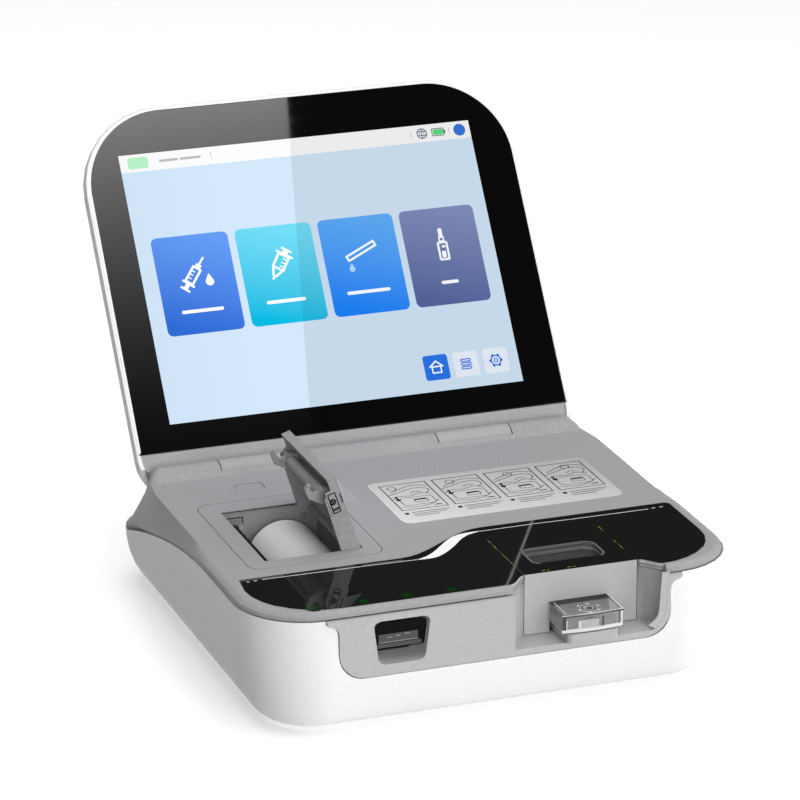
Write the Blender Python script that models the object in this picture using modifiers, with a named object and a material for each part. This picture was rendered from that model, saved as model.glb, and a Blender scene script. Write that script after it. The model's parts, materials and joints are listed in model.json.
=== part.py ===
# Portable blood gas analyzer: a tub-shaped bench unit with a folding touch screen, a paper printer
# under a small flap, and a cartridge bay behind a sliding cover at the front right.
# Metres, +X to the object's right, -Y to its front, +Z up. The origin is under the middle of its box.

import math

import bmesh
import bpy
from mathutils import Matrix, Vector

# Housing
BODY_SIDE_MARGIN = 0.0054
HINGE_TO_REAR = 0.0393
BOTTOM_Z = 0.0010
TOP_Z = 0.0527
RIM_DROP = 0.0032
WALL = 0.0025
TOP_WALL = 0.0030
SIDE_DRAFT = 0.0020
FRONT_LEAN = 0.0015
BOTTOM_TUCK = 0.0122
BOTTOM_RISE = 0.0255
CORNER_FRONT = 0.0300
CORNER_REAR = 0.0260
RIM_STEP = 0.0008
SKIRT_DEPTH = 0.0026
SKIRT_WALL = 0.0020
SKIRT_TAPER = 0.0005

# Top plate inside the sloping shoulder
PLATE_SIDE = 0.0048
PLATE_FRONT = 0.0043
PLATE_PAST_HINGE = 0.0070
PLATE_CORNER = 0.0260
PLATE_REAR_CORNER = 0.0090

# The seam between the two housings falls from the rim to the rear
SEAM_START = 0.0720
SEAM_END = 0.1850
SEAM_FALL = 0.0252
SEAM_POWER = 1.57

# A narrow band runs along the upper housing's lower edge
BAND_HEIGHT = 0.0012
BAND_GROWTH = 0.068
BAND_SHARE = 0.86

# Clearances
SEAT_GAP = 0.0003
RUN_GAP = 0.0005

# Lid hinge
HINGE_DROP = 0.0024
RIDGE_RADIUS = 0.0065
RIDGE_FOOT = 0.0100
RIDGE_INSET = 0.0006
RIDGE_END = 0.0045
TROUGH_RADIUS = 0.0074
GUTTER_RADIUS = 0.0162
KNUCKLE_SPREAD = 0.0494
KNUCKLE_WIDTH = 0.0336
HINGE_PIN_RADIUS = 0.0020
HINGE_PIN_REACH = 0.0080

# Lid
LID_LEAN = 34.81
LID_BORDER = 0.01852
LID_SETBACK = 0.0009
LID_TAIL = 0.0065
LID_THICK = 0.0110
LID_BACK_ROUND = 0.0070
LID_TOP_CORNER = 0.0385
LID_LOW_CORNER = 0.0180
LID_WALL = 0.0014
GLASS_BACK = 0.0031
GLASS_START = 0.0136
GLASS_THICK = 0.0011
GLASS_MARGIN = 0.0019
SCREEN_WIDTH = 0.16256
SCREEN_HEIGHT = 0.12192
SCREEN_TOP_BORDER = 0.02108
SCREEN_BORDER = 0.0040
SCREEN_SHIFT = -0.0010
SCREEN_THICK = 0.0040
BEZEL_SINK = 0.0012
BEZEL_WALL = 0.0024
BEZEL_INSET = 0.0025

# Control panel
PANEL_THICK = 0.0015
PANEL_FRONT = 0.0053
PANEL_SIDE = 0.0068
PANEL_TO_PRINTER = 0.0083
PANEL_TO_LABEL = 0.0144
PANEL_CORNER = 0.0300
SWOOP_OFFSET = 0.0036
SWOOP_LENGTH = 0.0420
LAMP_COUNT = 4
LAMP_SIDE = 0.0282
LAMP_PITCH = 0.0190
LAMP_FROM_FRONT = 0.0098
LAMP_RADIUS = 0.0016

# Cartridge bay
BAY_WIDTH = 0.0496
BAY_SIDE = 0.0437
BAY_FLARE = 0.0084
BAY_FACE = 0.0127
BAY_BACK = 0.0550
BAY_FLOOR_Z = 0.0263
BAY_COVER_WALL = 0.0020
BAY_ROOF = 0.0060
COVER_FILM = 0.0012
NOTCH_LEFT_INSET = 0.0113
NOTCH_RIGHT_INSET = 0.0123
NOTCH_TOP_Z = 0.0397
SCOOP_LEFT_INSET = 0.0086
SCOOP_RIGHT_INSET = 0.0101
SCOOP_FRONT = 0.0229
SCOOP_BACK = 0.0385
SCOOP_DEPTH = 0.0034

# Cartridge and its tray
CARTRIDGE_WIDTH = 0.0252
CARTRIDGE_SHIFT = 0.0003
CARTRIDGE_HEIGHT = 0.0078
CARTRIDGE_OVERHANG = 0.0040
CARTRIDGE_BOW = 0.0014
CARTRIDGE_LENGTH = 0.0460
TRAY_THICK = 0.0040
TRAY_WIDTH = 0.0220
TRAY_OVERHANG = 0.0026
MODULE_FROM_FRONT = 0.0330
MODULE_LENGTH = 0.0420

# Front fascia and barcode scanner
FASCIA_SIDE = 0.0339
FASCIA_BOTTOM_Z = 0.0234
FASCIA_EDGE = 0.0016
FASCIA_CORNER = 0.0110
FASCIA_TAB = 0.0050
FASCIA_THICK = 0.0030
FASCIA_BAY_DEPTH = 0.0150
SCANNER_SIDE = 0.0605
SCANNER_TOP_HALF = 0.0118
SCANNER_LOW_HALF = 0.0095
SCANNER_TOP_Z = 0.0466
SCANNER_LOW_Z = 0.0284
SCANNER_DEPTH = 0.0110
SCANNER_ROUND = 0.0025

# Printer
PRINTER_SIDE = 0.0160
PRINTER_WIDTH = 0.0576
PRINTER_FRONT = 0.0552
PRINTER_CORNER = 0.0060
MOUTH_LEFT_INSET = 0.0082
MOUTH_RIGHT_INSET = 0.0070
PRINTER_SILL_Z = 0.0350
MOUTH_FRONT_INSET = 0.0077
MOUTH_BACK_INSET = 0.0102
FRAME_WALL = 0.0016
FRAME_PLATE = 0.0028
ROLL_RADIUS = 0.0142
ROLL_LENGTH = 0.0500
ROLL_SIDE_ROOM = 0.00395
ROLL_INSET = 0.0339
PRINTER_TO_HINGE = 0.0382
ROLL_Z = 0.0319
ROLL_CORE = 0.0060
PLATEN_INSET = 0.0087
PLATEN_Z = 0.0448
PLATEN_RADIUS = 0.0040
FLAP_AXIS_INSET = 0.0096
FLAP_AXIS_DROP = 0.0022
FLAP_LENGTH = 0.0362
FLAP_THICK = 0.0020
FLAP_FLANGE = 0.0057
FLAP_OPEN = 71.5
FLAP_PIN_RADIUS = 0.0010
FLAP_ROLLER_REACH = 0.0268
FLAP_ROLLER_DROP = 0.0033
FLAP_ROLLER_RADIUS = 0.0026
HOOK_REACH = 0.0315
HOOK_DROP = 0.0060
HOOK_THICK = 0.0024
LATCH_PIN_RADIUS = 0.0015
RELEASE_INSET = 0.0232
RELEASE_WIDTH = 0.0116
RELEASE_GAP = 0.0110
RELEASE_LENGTH = 0.0067

# Instruction label
LABEL_TO_PRINTER = 0.0180
LABEL_SIDE = 0.0220
LABEL_PAST_PRINTER_FRONT = 0.0270
LABEL_LENGTH = 0.0465
LABEL_CORNER = 0.0040
LABEL_THICK = 0.0002

# Rear port panel and base
PORTS_HALF = 0.0400
PORTS_LOW_Z = 0.0058
PORTS_TOP_Z = 0.0193
PORTS_RIM = 0.0018
PORTS_INSET = 0.0090
PORTS_PLATE = 0.0020
FOOT_RADIUS = 0.0080
FOOT_HEIGHT = 0.0036
FOOT_SIDE = 0.0322
FOOT_FRONT = 0.0340
FOOT_REAR_INSET = 0.0325
BOSS_HEIGHT = 0.0035
BOARD_THICK = 0.0016
POST_INSET = 0.0050
MAIN_BOARD_SIDE = 0.0182
MAIN_BOARD_WIDTH = 0.0940
MAIN_BOARD_FRONT = 0.0520
POWER_BOARD_SIDE = 0.0262
POWER_BOARD_WIDTH = 0.0620
POWER_BOARD_LENGTH = 0.0580
POWER_BOARD_TO_HINGE = 0.0052
BATTERY_WIDTH = 0.0700
BATTERY_LENGTH = 0.0400
BATTERY_TOP_Z = 0.0230
BATTERY_TO_BOARD = 0.0070
SPEAKER_X = -0.0300
SPEAKER_FROM_FRONT = 0.0320
SPEAKER_RADIUS = 0.0140

ARC_STEPS = 7

# Widths, worked out from the screen
LID_HALF = SCREEN_WIDTH / 2 + LID_BORDER
HALF = LID_HALF + BODY_SIDE_MARGIN
BODY_WIDTH = 2 * HALF
RIDGE_HALF = HALF - PLATE_SIDE - RIDGE_INSET
PANEL_HALF = HALF - PANEL_SIDE
FASCIA_HALF = HALF - FASCIA_SIDE
FOOT_X = HALF - FOOT_SIDE

# Places across, from the side that each piece keeps to
PRINTER_LEFT = -HALF + PRINTER_SIDE
PRINTER_RIGHT = PRINTER_LEFT + PRINTER_WIDTH
MOUTH_LEFT = PRINTER_LEFT + MOUTH_LEFT_INSET
MOUTH_RIGHT = PRINTER_RIGHT - MOUTH_RIGHT_INSET
ROLL_X = PRINTER_LEFT + ROLL_INSET
PLATEN_X = PRINTER_LEFT + PLATEN_INSET
FLAP_AXIS_X = PRINTER_RIGHT - FLAP_AXIS_INSET
RELEASE_LEFT = PRINTER_LEFT + RELEASE_INSET
RELEASE_RIGHT = RELEASE_LEFT + RELEASE_WIDTH
LABEL_LEFT = PRINTER_RIGHT + LABEL_TO_PRINTER
LABEL_RIGHT = HALF - LABEL_SIDE
SWOOP_START = PRINTER_RIGHT + SWOOP_OFFSET
SWOOP_END = SWOOP_START + SWOOP_LENGTH
LAMP_X = [-HALF + LAMP_SIDE + i * LAMP_PITCH for i in range(LAMP_COUNT)]
SCANNER_CENTRE = -HALF + SCANNER_SIDE
BAY_RIGHT = HALF - BAY_SIDE
BAY_LEFT = BAY_RIGHT - BAY_WIDTH
NOTCH_LEFT = BAY_LEFT + NOTCH_LEFT_INSET
NOTCH_RIGHT = BAY_RIGHT - NOTCH_RIGHT_INSET
SCOOP_LEFT = BAY_LEFT + SCOOP_LEFT_INSET
SCOOP_RIGHT = BAY_RIGHT - SCOOP_RIGHT_INSET
CARTRIDGE_CENTRE = (BAY_LEFT + BAY_RIGHT) / 2 - CARTRIDGE_SHIFT

# Distances behind the front, worked out from the paper roll
MOUTH_FRONT = PRINTER_FRONT + MOUTH_FRONT_INSET
MOUTH_BACK = MOUTH_FRONT + ROLL_LENGTH + 2 * ROLL_SIDE_ROOM
PRINTER_BACK = MOUTH_BACK + MOUTH_BACK_INSET
RELEASE_FRONT = PRINTER_BACK + RELEASE_GAP
RELEASE_BACK = RELEASE_FRONT + RELEASE_LENGTH
HINGE_FROM_FRONT = PRINTER_BACK + PRINTER_TO_HINGE
BODY_DEPTH = HINGE_FROM_FRONT + HINGE_TO_REAR
PLATE_REAR = HINGE_TO_REAR - PLATE_PAST_HINGE
LID_REACH = HINGE_FROM_FRONT - LID_SETBACK
SCREEN_START = LID_REACH - SCREEN_TOP_BORDER - SCREEN_HEIGHT
LABEL_FRONT = PRINTER_FRONT + LABEL_PAST_PRINTER_FRONT
LABEL_BACK = LABEL_FRONT + LABEL_LENGTH
PANEL_STEP_LEFT = PRINTER_FRONT - PANEL_TO_PRINTER
PANEL_STEP_RIGHT = LABEL_FRONT - PANEL_TO_LABEL
FOOT_REAR = BODY_DEPTH - FOOT_REAR_INSET

# Lengths and heights of the whole
LEAN = math.radians(LID_LEAN)
LID_REAR = (
    (LID_REACH - LID_BACK_ROUND) * math.sin(LEAN)
    + (GLASS_BACK + LID_THICK - LID_BACK_ROUND) * math.cos(LEAN)
    + LID_BACK_ROUND
)
OVERALL_DEPTH = CARTRIDGE_OVERHANG + CARTRIDGE_BOW + HINGE_FROM_FRONT + LID_REAR
FRONT_Y = -OVERALL_DEPTH / 2 + CARTRIDGE_OVERHANG + CARTRIDGE_BOW
REAR_Y = FRONT_Y + BODY_DEPTH
HINGE_Y = FRONT_Y + HINGE_FROM_FRONT
HINGE_Z = TOP_Z - HINGE_DROP
RIM_Z = TOP_Z - RIM_DROP
FLOOR_Z = BOTTOM_Z + WALL

PALETTE = {
    "white_shell": ((0.86, 0.87, 0.88, 1), 0.55, 0.0),
    "grey_shell": ((0.42, 0.42, 0.43, 1), 0.60, 0.0),
    "pale_grey": ((0.52, 0.52, 0.53, 1), 0.60, 0.0),
    "dark_grey": ((0.16, 0.16, 0.17, 1), 0.60, 0.0),
    "black_gloss": ((0.015, 0.015, 0.018, 1), 0.08, 0.0),
    "black_matte": ((0.02, 0.02, 0.02, 1), 0.60, 0.0),
    "screen": ((0.72, 0.84, 0.95, 1), 0.20, 0.0),
    "label": ((0.88, 0.88, 0.88, 1), 0.45, 0.0),
    "clear_smoke": ((0.75, 0.76, 0.78, 0.35), 0.08, 0.0),
    "paper": ((0.90, 0.90, 0.89, 1), 0.85, 0.0),
    "rubber": ((0.03, 0.03, 0.03, 1), 0.80, 0.0),
    "steel": ((0.60, 0.61, 0.62, 1), 0.30, 1.0),
    "board": ((0.03, 0.20, 0.10, 1), 0.50, 0.0),
    "green_lamp": ((0.05, 0.30, 0.12, 1), 0.20, 0.0),
    "battery": ((0.10, 0.16, 0.30, 1), 0.40, 0.0),
}

for old in list(bpy.data.objects):
    bpy.data.objects.remove(old, do_unlink=True)

parts = bpy.data.collections.new("portable_blood_gas_analyzer")
tools = bpy.data.collections.new("cutters")
bpy.context.scene.collection.children.link(parts)
bpy.context.scene.collection.children.link(tools)


def depth(distance):
    """World Y of a place given by its distance behind the body's front."""
    return FRONT_Y + distance


def finish(obj, name, key, location=None, parent=None):
    """Name a finished piece, give it its material, and put its origin where it turns or slides."""
    if location is not None:
        obj.data.transform(Matrix.Translation(-Vector(location)))
        obj.location = location
    if parent is not None:
        for piece in [obj] + [mod.object for mod in obj.modifiers if mod.type == "BOOLEAN"]:
            piece.parent = parent
    obj.name = name
    obj.data.name = name
    colour, roughness, metallic = PALETTE[key]
    mat = bpy.data.materials.new(name + "_finish")
    mat.use_nodes = True
    shader = mat.node_tree.nodes["Principled BSDF"]
    shader.inputs["Base Color"].default_value = colour
    shader.inputs["Roughness"].default_value = roughness
    shader.inputs["Metallic"].default_value = metallic
    shader.inputs["Alpha"].default_value = colour[3]
    mat.diffuse_color = colour
    obj.data.materials.clear()
    obj.data.materials.append(mat)
    for collection in list(obj.users_collection):
        collection.objects.unlink(obj)
    parts.objects.link(obj)
    return obj


def as_tool(obj):
    """Move a mesh to the cutters' collection."""
    for collection in list(obj.users_collection):
        collection.objects.unlink(obj)
    tools.objects.link(obj)
    obj.hide_render = True
    obj.display_type = "WIRE"
    return obj


def combine(target, operation, pieces):
    for piece in pieces:
        as_tool(piece)
        mod = target.modifiers.new(operation.lower(), "BOOLEAN")
        mod.operation = operation
        mod.solver = "EXACT"
        mod.object = piece
    return target


def cut(target, *pieces):
    return combine(target, "DIFFERENCE", pieces)


def join(target, *pieces):
    return combine(target, "UNION", pieces)


def keep(target, *pieces):
    return combine(target, "INTERSECT", pieces)


def settle(target):
    """Apply a mesh's modifiers, so that it can be used or shaped further."""
    bpy.context.view_layer.update()
    mesh = bpy.data.meshes.new_from_object(target.evaluated_get(bpy.context.evaluated_depsgraph_get()))
    target.modifiers.clear()
    target.data = mesh
    return target


def mesh_object(name, bm):
    bmesh.ops.recalc_face_normals(bm, faces=bm.faces)
    mesh = bpy.data.meshes.new(name)
    bm.to_mesh(mesh)
    bm.free()
    obj = bpy.data.objects.new(name, mesh)
    parts.objects.link(obj)
    return obj


def round_off(obj, width, segments=2, angle=50):
    mod = obj.modifiers.new("rounded_edges", "BEVEL")
    mod.width = width
    mod.segments = segments
    mod.limit_method = "ANGLE"
    mod.angle_limit = math.radians(angle)
    return obj


def smooth(obj, angle=35):
    obj.data.shade_smooth()
    obj.data.set_sharp_from_angle(angle=math.radians(angle))
    return obj


def box(name, low, high, rounding=0.0, segments=2):
    bm = bmesh.new()
    bmesh.ops.create_cube(bm, size=1.0)
    low, high = Vector(low), Vector(high)
    bmesh.ops.scale(bm, vec=high - low, verts=bm.verts)
    bmesh.ops.translate(bm, vec=(low + high) / 2, verts=bm.verts)
    obj = mesh_object(name, bm)
    if rounding:
        round_off(obj, rounding, segments)
    return obj


AXES = {
    "X": Matrix(((0, 0, 1), (1, 0, 0), (0, 1, 0))).to_4x4(),
    "Y": Matrix(((1, 0, 0), (0, 0, -1), (0, 1, 0))).to_4x4(),
    "Z": Matrix.Identity(4),
}


def rod(name, axis, radius, centre, low, high, sides=16, top_radius=None):
    """A round bar along one axis. centre gives the two other coordinates, in X, Y, Z order."""
    bm = bmesh.new()
    wide = radius if top_radius is None else top_radius
    bmesh.ops.create_cone(
        bm, cap_ends=True, segments=sides, radius1=radius, radius2=wide, depth=high - low
    )
    middle = (low + high) / 2
    place = {
        "X": (middle, *centre),
        "Y": (centre[0], middle, centre[1]),
        "Z": (*centre, middle),
    }[axis]
    turn = AXES[axis]
    if axis == "Y":
        turn = Matrix.Rotation(math.radians(-90), 4, "X")
    bmesh.ops.transform(bm, matrix=Matrix.Translation(place) @ turn, verts=bm.verts)
    return smooth(mesh_object(name, bm))


def prism(name, axis, points, low, high):
    """A flat outline given a thickness along one axis. Points are the two other coordinates."""
    curve = bpy.data.curves.new(name, "CURVE")
    curve.dimensions = "2D"
    curve.fill_mode = "BOTH"
    curve.extrude = (high - low) / 2
    spline = curve.splines.new("POLY")
    spline.points.add(len(points) - 1)
    spline.use_cyclic_u = True
    for point, (a, b) in zip(spline.points, points):
        point.co = (a, b, 0.0, 1.0)
    guide = bpy.data.objects.new(name + "_outline", curve)
    middle = (low + high) / 2
    offset = {"X": (middle, 0, 0), "Y": (0, middle, 0), "Z": (0, 0, middle)}[axis]
    guide.matrix_world = Matrix.Translation(offset) @ AXES[axis]
    tools.objects.link(guide)
    bpy.context.view_layer.update()
    source = guide.evaluated_get(bpy.context.evaluated_depsgraph_get())
    mesh = bpy.data.meshes.new_from_object(source)
    mesh.transform(guide.matrix_world)
    bpy.data.objects.remove(guide, do_unlink=True)
    bm = bmesh.new()
    bm.from_mesh(mesh)
    bpy.data.meshes.remove(mesh)
    bmesh.ops.remove_doubles(bm, verts=bm.verts, dist=0.00001)
    return mesh_object(name, bm)


def arc(centre, radius, start, end, steps):
    """Points along an arc, its ends included, with angles in degrees."""
    points = []
    for i in range(steps + 1):
        angle = math.radians(start + (end - start) * i / steps)
        points.append((centre[0] + radius * math.cos(angle), centre[1] + radius * math.sin(angle)))
    return points


def rounded_box(x0, x1, y0, y1, low_radius, high_radius=None, steps=ARC_STEPS):
    """A rounded rectangle, counterclockwise from its low right corner."""
    top = low_radius if high_radius is None else high_radius
    points = arc((x1 - low_radius, y0 + low_radius), low_radius, -90, 0, steps)
    points += arc((x1 - top, y1 - top), top, 0, 90, steps)
    points += arc((x0 + top, y1 - top), top, 90, 180, steps)
    points += arc((x0 + low_radius, y0 + low_radius), low_radius, 180, 270, steps)
    return points


def loft(name, rings):
    """A closed body over rings of as many points each. Its ends are strips between mirrored points."""
    bm = bmesh.new()
    rows = [[bm.verts.new(point) for point in ring] for ring in rings]
    count = len(rows[0])
    for low, high in zip(rows, rows[1:]):
        for i in range(count):
            j = (i + 1) % count
            bm.faces.new((low[i], low[j], high[j], high[i]))
    half = count // 2
    for row in (rows[0], rows[-1]):
        for i in range(half - 1):
            far = count - 1 - i
            bm.faces.new((row[i], row[i + 1], row[far - 1], row[far]))
    return mesh_object(name, bm)


def body_ring(inset, height, front_shift=0.0, side_shift=0.0):
    """The body's plan outline, drawn in by an inset, at one height."""
    x = HALF - inset - side_shift
    front = FRONT_Y + FRONT_LEAN + inset - front_shift
    low = max(CORNER_FRONT - 1.1 * inset, 0.004)
    high = max(CORNER_REAR - 1.1 * inset, 0.004)
    outline = with_flanks(rounded_box(-x, x, front, REAR_Y - inset, low, high))
    return [(px, py, height) for px, py in outline]


def with_flanks(outline):
    """Add points along the two long sides, where the seam's height changes."""
    count = len(outline) // 4
    right_low, right_high = outline[count - 1], outline[count]
    steps = 8
    flank = []
    for i in range(1, steps):
        y = right_low[1] + (right_high[1] - right_low[1]) * i / steps
        x = right_low[0] + (right_high[0] - right_low[0]) * i / steps
        flank.append((x, y))
    other = [(-x, y) for x, y in reversed(flank)]
    return outline[:count] + flank + outline[count:3 * count] + other + outline[3 * count:]


def seam_z(y):
    """Height of the line where the two housings meet, at one distance from the front."""
    start, end = depth(SEAM_START), depth(SEAM_END)
    share = min(max((y - start) / (end - start), 0.0), 1.0)
    return RIM_Z - SEAM_FALL * share ** SEAM_POWER


def tub_rings(inset, floor, steps=6):
    """Rings from the bottom up, with a tucked-in lower edge and a slightly leaning wall."""
    rings = []
    rise = BOTTOM_RISE - inset
    tuck = BOTTOM_TUCK
    for i in range(steps + 1):
        angle = math.radians(90 - 90 * i / steps)
        draw = inset + tuck * (1 - math.cos(angle))
        rings.append(body_ring(draw, floor + rise * (1 - math.sin(angle)), FRONT_LEAN, SIDE_DRAFT))
    rings.append(body_ring(inset, RIM_Z))
    return rings


def above_seam(name, lift):
    """A block over everything higher than the seam, its lower face following the seam's fall."""
    points = [(FRONT_Y - 0.02, RIM_Z + lift)]
    start, end = depth(SEAM_START), depth(SEAM_END)
    for i in range(11):
        y = start + (end - start) * i / 10
        points.append((y, seam_z(y) + lift))
    points.append((REAR_Y + 0.02, seam_z(REAR_Y) + lift))
    points.append((REAR_Y + 0.02, TOP_Z + 0.05))
    points.append((FRONT_Y - 0.02, TOP_Z + 0.05))
    return prism(name, "X", points, -BODY_WIDTH, BODY_WIDTH)


def fascia_outline(gap):
    """The front opening: a rounded slot whose upper corners flare outwards. Clockwise from the top."""
    half, low, top = FASCIA_HALF - gap, FASCIA_BOTTOM_Z + gap, RIM_Z + 0.002
    tab = half + FASCIA_TAB
    flare = FASCIA_TAB - 0.001
    points = [(tab, top), (tab, RIM_Z - 0.0012)]
    points += [(x, z) for x, z in arc((tab - 0.001, RIM_Z - 0.0022 - flare), flare, 90, 180, 4)]
    points += [(x, z) for x, z in arc((half - FASCIA_CORNER, low + FASCIA_CORNER), FASCIA_CORNER, 0, -90, 6)]
    mirrored = [(-x, z) for x, z in reversed(points)]
    return points + mirrored


def bay_plan(gap=0.0):
    """Plan of the cartridge bay: a straight channel whose front corners flare in an S-curve."""
    left, right = BAY_LEFT + gap, BAY_RIGHT - gap
    face, back = depth(BAY_FACE), depth(BAY_BACK)
    mouth = depth(PANEL_FRONT)
    points = [(left, back), (left, face)]
    steps = 6
    for i in range(1, steps + 1):
        share = i / steps
        ease = share * share * (3 - 2 * share)
        points.append((left - BAY_FLARE * share, face - (face - mouth) * ease))
    points.append((left - BAY_FLARE, FRONT_Y - 0.02))
    mirrored = [(left + right - x, y) for x, y in reversed(points)]
    return points + mirrored


def lower_housing():
    obj = loft("lower_tub", tub_rings(0.0, BOTTOM_Z))
    hollow = loft("lower_hollow", tub_rings(WALL, FLOOR_Z) + [body_ring(WALL, RIM_Z + 0.01)])
    mouth = prism("fascia_slot", "Y", fascia_outline(0.0), FRONT_Y - 0.02, depth(0.012))
    ports = prism(
        "port_slot", "Y",
        rounded_box(-PORTS_HALF, PORTS_HALF, PORTS_LOW_Z, PORTS_TOP_Z, 0.003, steps=3),
        REAR_Y - 0.03, REAR_Y + 0.01,
    )
    cut(obj, hollow, above_seam("over_seam", 0.0), mouth)
    frame = box(
        "port_frame", (-PORTS_HALF - PORTS_RIM, REAR_Y - PORTS_INSET - PORTS_PLATE, PORTS_LOW_Z - PORTS_RIM),
        (PORTS_HALF + PORTS_RIM, REAR_Y, PORTS_TOP_Z + PORTS_RIM),
    )
    keep(frame, loft("frame_limit", tub_rings(WALL / 2, BOTTOM_Z + WALL / 2)))
    join(obj, frame)
    cut(obj, ports)
    boards = []
    for x, y in corner_posts(*main_board_span()) + corner_posts(*power_board_span()):
        boards.append(rod("post", "Z", 0.0030, (x, y), FLOOR_Z - 0.001, FLOOR_Z + BOSS_HEIGHT, 10))
    join(obj, *boards)
    screws = [rod("screw_way", "Z", 0.0024, spot, 0.0, FLOOR_Z + 0.01, 12) for spot in foot_spots()]
    sinks = [rod("foot_seat", "Z", FOOT_RADIUS + SEAT_GAP, spot, 0.0, BOTTOM_Z + 0.0014, 20) for spot in foot_spots()]
    cut(obj, *sinks)
    cut(obj, *screws)
    for column in range(5):
        x = SPEAKER_X + (column - 2) * 0.0045
        y = depth(SPEAKER_FROM_FRONT)
        slot = box("speaker_slot", (x - 0.0008, y - 0.008, 0.0), (x + 0.0008, y + 0.008, FLOOR_Z + 0.002))
        cut(obj, slot)
    finish(obj, "lower_housing", "white_shell")


def foot_spots():
    return [(side * FOOT_X, depth(y)) for y in (FOOT_FRONT, FOOT_REAR) for side in (-1, 1)]


def main_board_span():
    left = -HALF + MAIN_BOARD_SIDE
    return left, left + MAIN_BOARD_WIDTH, MAIN_BOARD_FRONT, PRINTER_BACK + POST_INSET


def power_board_span():
    right = HALF - POWER_BOARD_SIDE
    back = HINGE_FROM_FRONT - POWER_BOARD_TO_HINGE
    return right - POWER_BOARD_WIDTH, right, back - POWER_BOARD_LENGTH, back


def corner_posts(left, right, front, back):
    xs = (left + POST_INSET, right - POST_INSET)
    ys = (depth(front + POST_INSET), depth(back - POST_INSET))
    return [(x, y) for x in xs for y in ys]


def seam_ring(inset, distance):
    """The body's outline at a distance below the seam, following the wall's draft."""
    ring = []
    for x, y, _ in body_ring(inset, 0.0):
        z = seam_z(y) - distance
        draft = SIDE_DRAFT * (RIM_Z - z) / (RIM_Z - BOTTOM_Z - BOTTOM_RISE)
        ring.append((x * (1 - max(draft, 0.0) / HALF), y, z))
    return ring


def plate_ring(share, drop_share):
    """A ring between the top plate's edge and the rim, share 0 to 1 outwards."""
    inner = with_flanks(rounded_box(
        -(HALF - PLATE_SIDE), HALF - PLATE_SIDE, depth(PLATE_FRONT), REAR_Y - PLATE_REAR, PLATE_CORNER,
        PLATE_REAR_CORNER,
    ))
    ring = []
    for (ix, iy), (ox, oy, oz) in zip(inner, seam_ring(RIM_STEP, -SEAT_GAP)):
        drop = TOP_Z - oz
        soft = max(0.0, 1.0 - (drop - RIM_DROP) / 0.004)
        fall = drop_share - 0.28 * soft * (1 if 0 < share < 1 else 0)
        ring.append((ix + (ox - ix) * share, iy + (oy - iy) * share, TOP_Z - drop * fall))
    return ring


def band_ring():
    """The upper edge of the narrow band above the seam."""
    ring = []
    for (x, y, _), (_, _, low) in zip(plate_ring(BAND_SHARE, 1.0), plate_ring(1.0, 1.0)):
        ring.append((x, y, low + BAND_HEIGHT + BAND_GROWTH * (TOP_Z - low)))
    return ring


def ridge(name):
    """The hinge's raised bar, with a fillet to the plate in front and rounded ends."""
    foot = [(-RIDGE_FOOT, -0.0009), (-0.0082, 0.0003), (-0.0062, 0.0012)]
    stations = [RIDGE_HALF - RIDGE_END * (1 - math.sin(math.radians(a))) for a in (0, 30, 60, 90)]
    heights = (1.0, 0.87, 0.50, -0.15)
    fillets = (1.0, 0.50, -0.40, -0.80)
    rings = []
    sides = list(zip(stations, heights, fillets))
    for x, share, fade in [(-x, h, f) for x, h, f in reversed(sides)] + sides:
        section = [(y, HINGE_DROP + min(z, z * fade)) for y, z in foot]
        section += arc((0.0, 0.0), RIDGE_RADIUS, 135, -96, 14)
        section += [(-RIDGE_FOOT, -RIDGE_RADIUS)]
        ring = []
        for y, z in section:
            above = max(z - HINGE_DROP, 0.0)
            height = z if above == 0.0 else HINGE_DROP + above * share
            ring.append((x, HINGE_Y + y, HINGE_Z + height))
        rings.append(ring)
    bm = bmesh.new()
    rows = [[bm.verts.new(point) for point in ring] for ring in rings]
    for low, high in zip(rows, rows[1:]):
        for i in range(len(low)):
            j = (i + 1) % len(low)
            bm.faces.new((low[i], low[j], high[j], high[i]))
    bm.faces.new(rows[0])
    bm.faces.new(rows[-1])
    return mesh_object(name, bm)


def gutter():
    """The space behind the hinge bar in which the lid's lower edge swings."""
    outer = arc((HINGE_Y, HINGE_Z), GUTTER_RADIUS, -88, 84, 16)
    inner = arc((HINGE_Y, HINGE_Z), RIDGE_RADIUS - 0.0015, 84, -88, 12)
    reach = LID_HALF + SEAT_GAP
    return prism("gutter", "X", outer + inner, -reach, reach)


def knuckle_spans(gap):
    half = KNUCKLE_WIDTH / 2 + gap
    return [(centre - half, centre + half) for centre in (-KNUCKLE_SPREAD, KNUCKLE_SPREAD)]


def panel_outline(gap):
    """The black panel: its back edge steps back to the right in an S-curve."""
    left_back, right_back = depth(PANEL_STEP_LEFT) - gap, depth(PANEL_STEP_RIGHT) - gap
    front = depth(PANEL_FRONT) + gap
    half, radius = PANEL_HALF - gap, PANEL_CORNER
    points = arc((half - radius, front + radius), radius, -90, 0, ARC_STEPS)
    points += [(half, right_back - 0.0015), (half - 0.0015, right_back)]
    steps = 10
    for i in range(steps + 1):
        share = i / steps
        ease = share * share * (3 - 2 * share)
        x = SWOOP_END + (SWOOP_START - SWOOP_END) * share
        points.append((x, right_back + (left_back - right_back) * ease))
    points += [(-half + 0.0015, left_back)]
    points += arc((-half + radius, front + radius), radius, 180, 270, ARC_STEPS)
    return points


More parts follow.
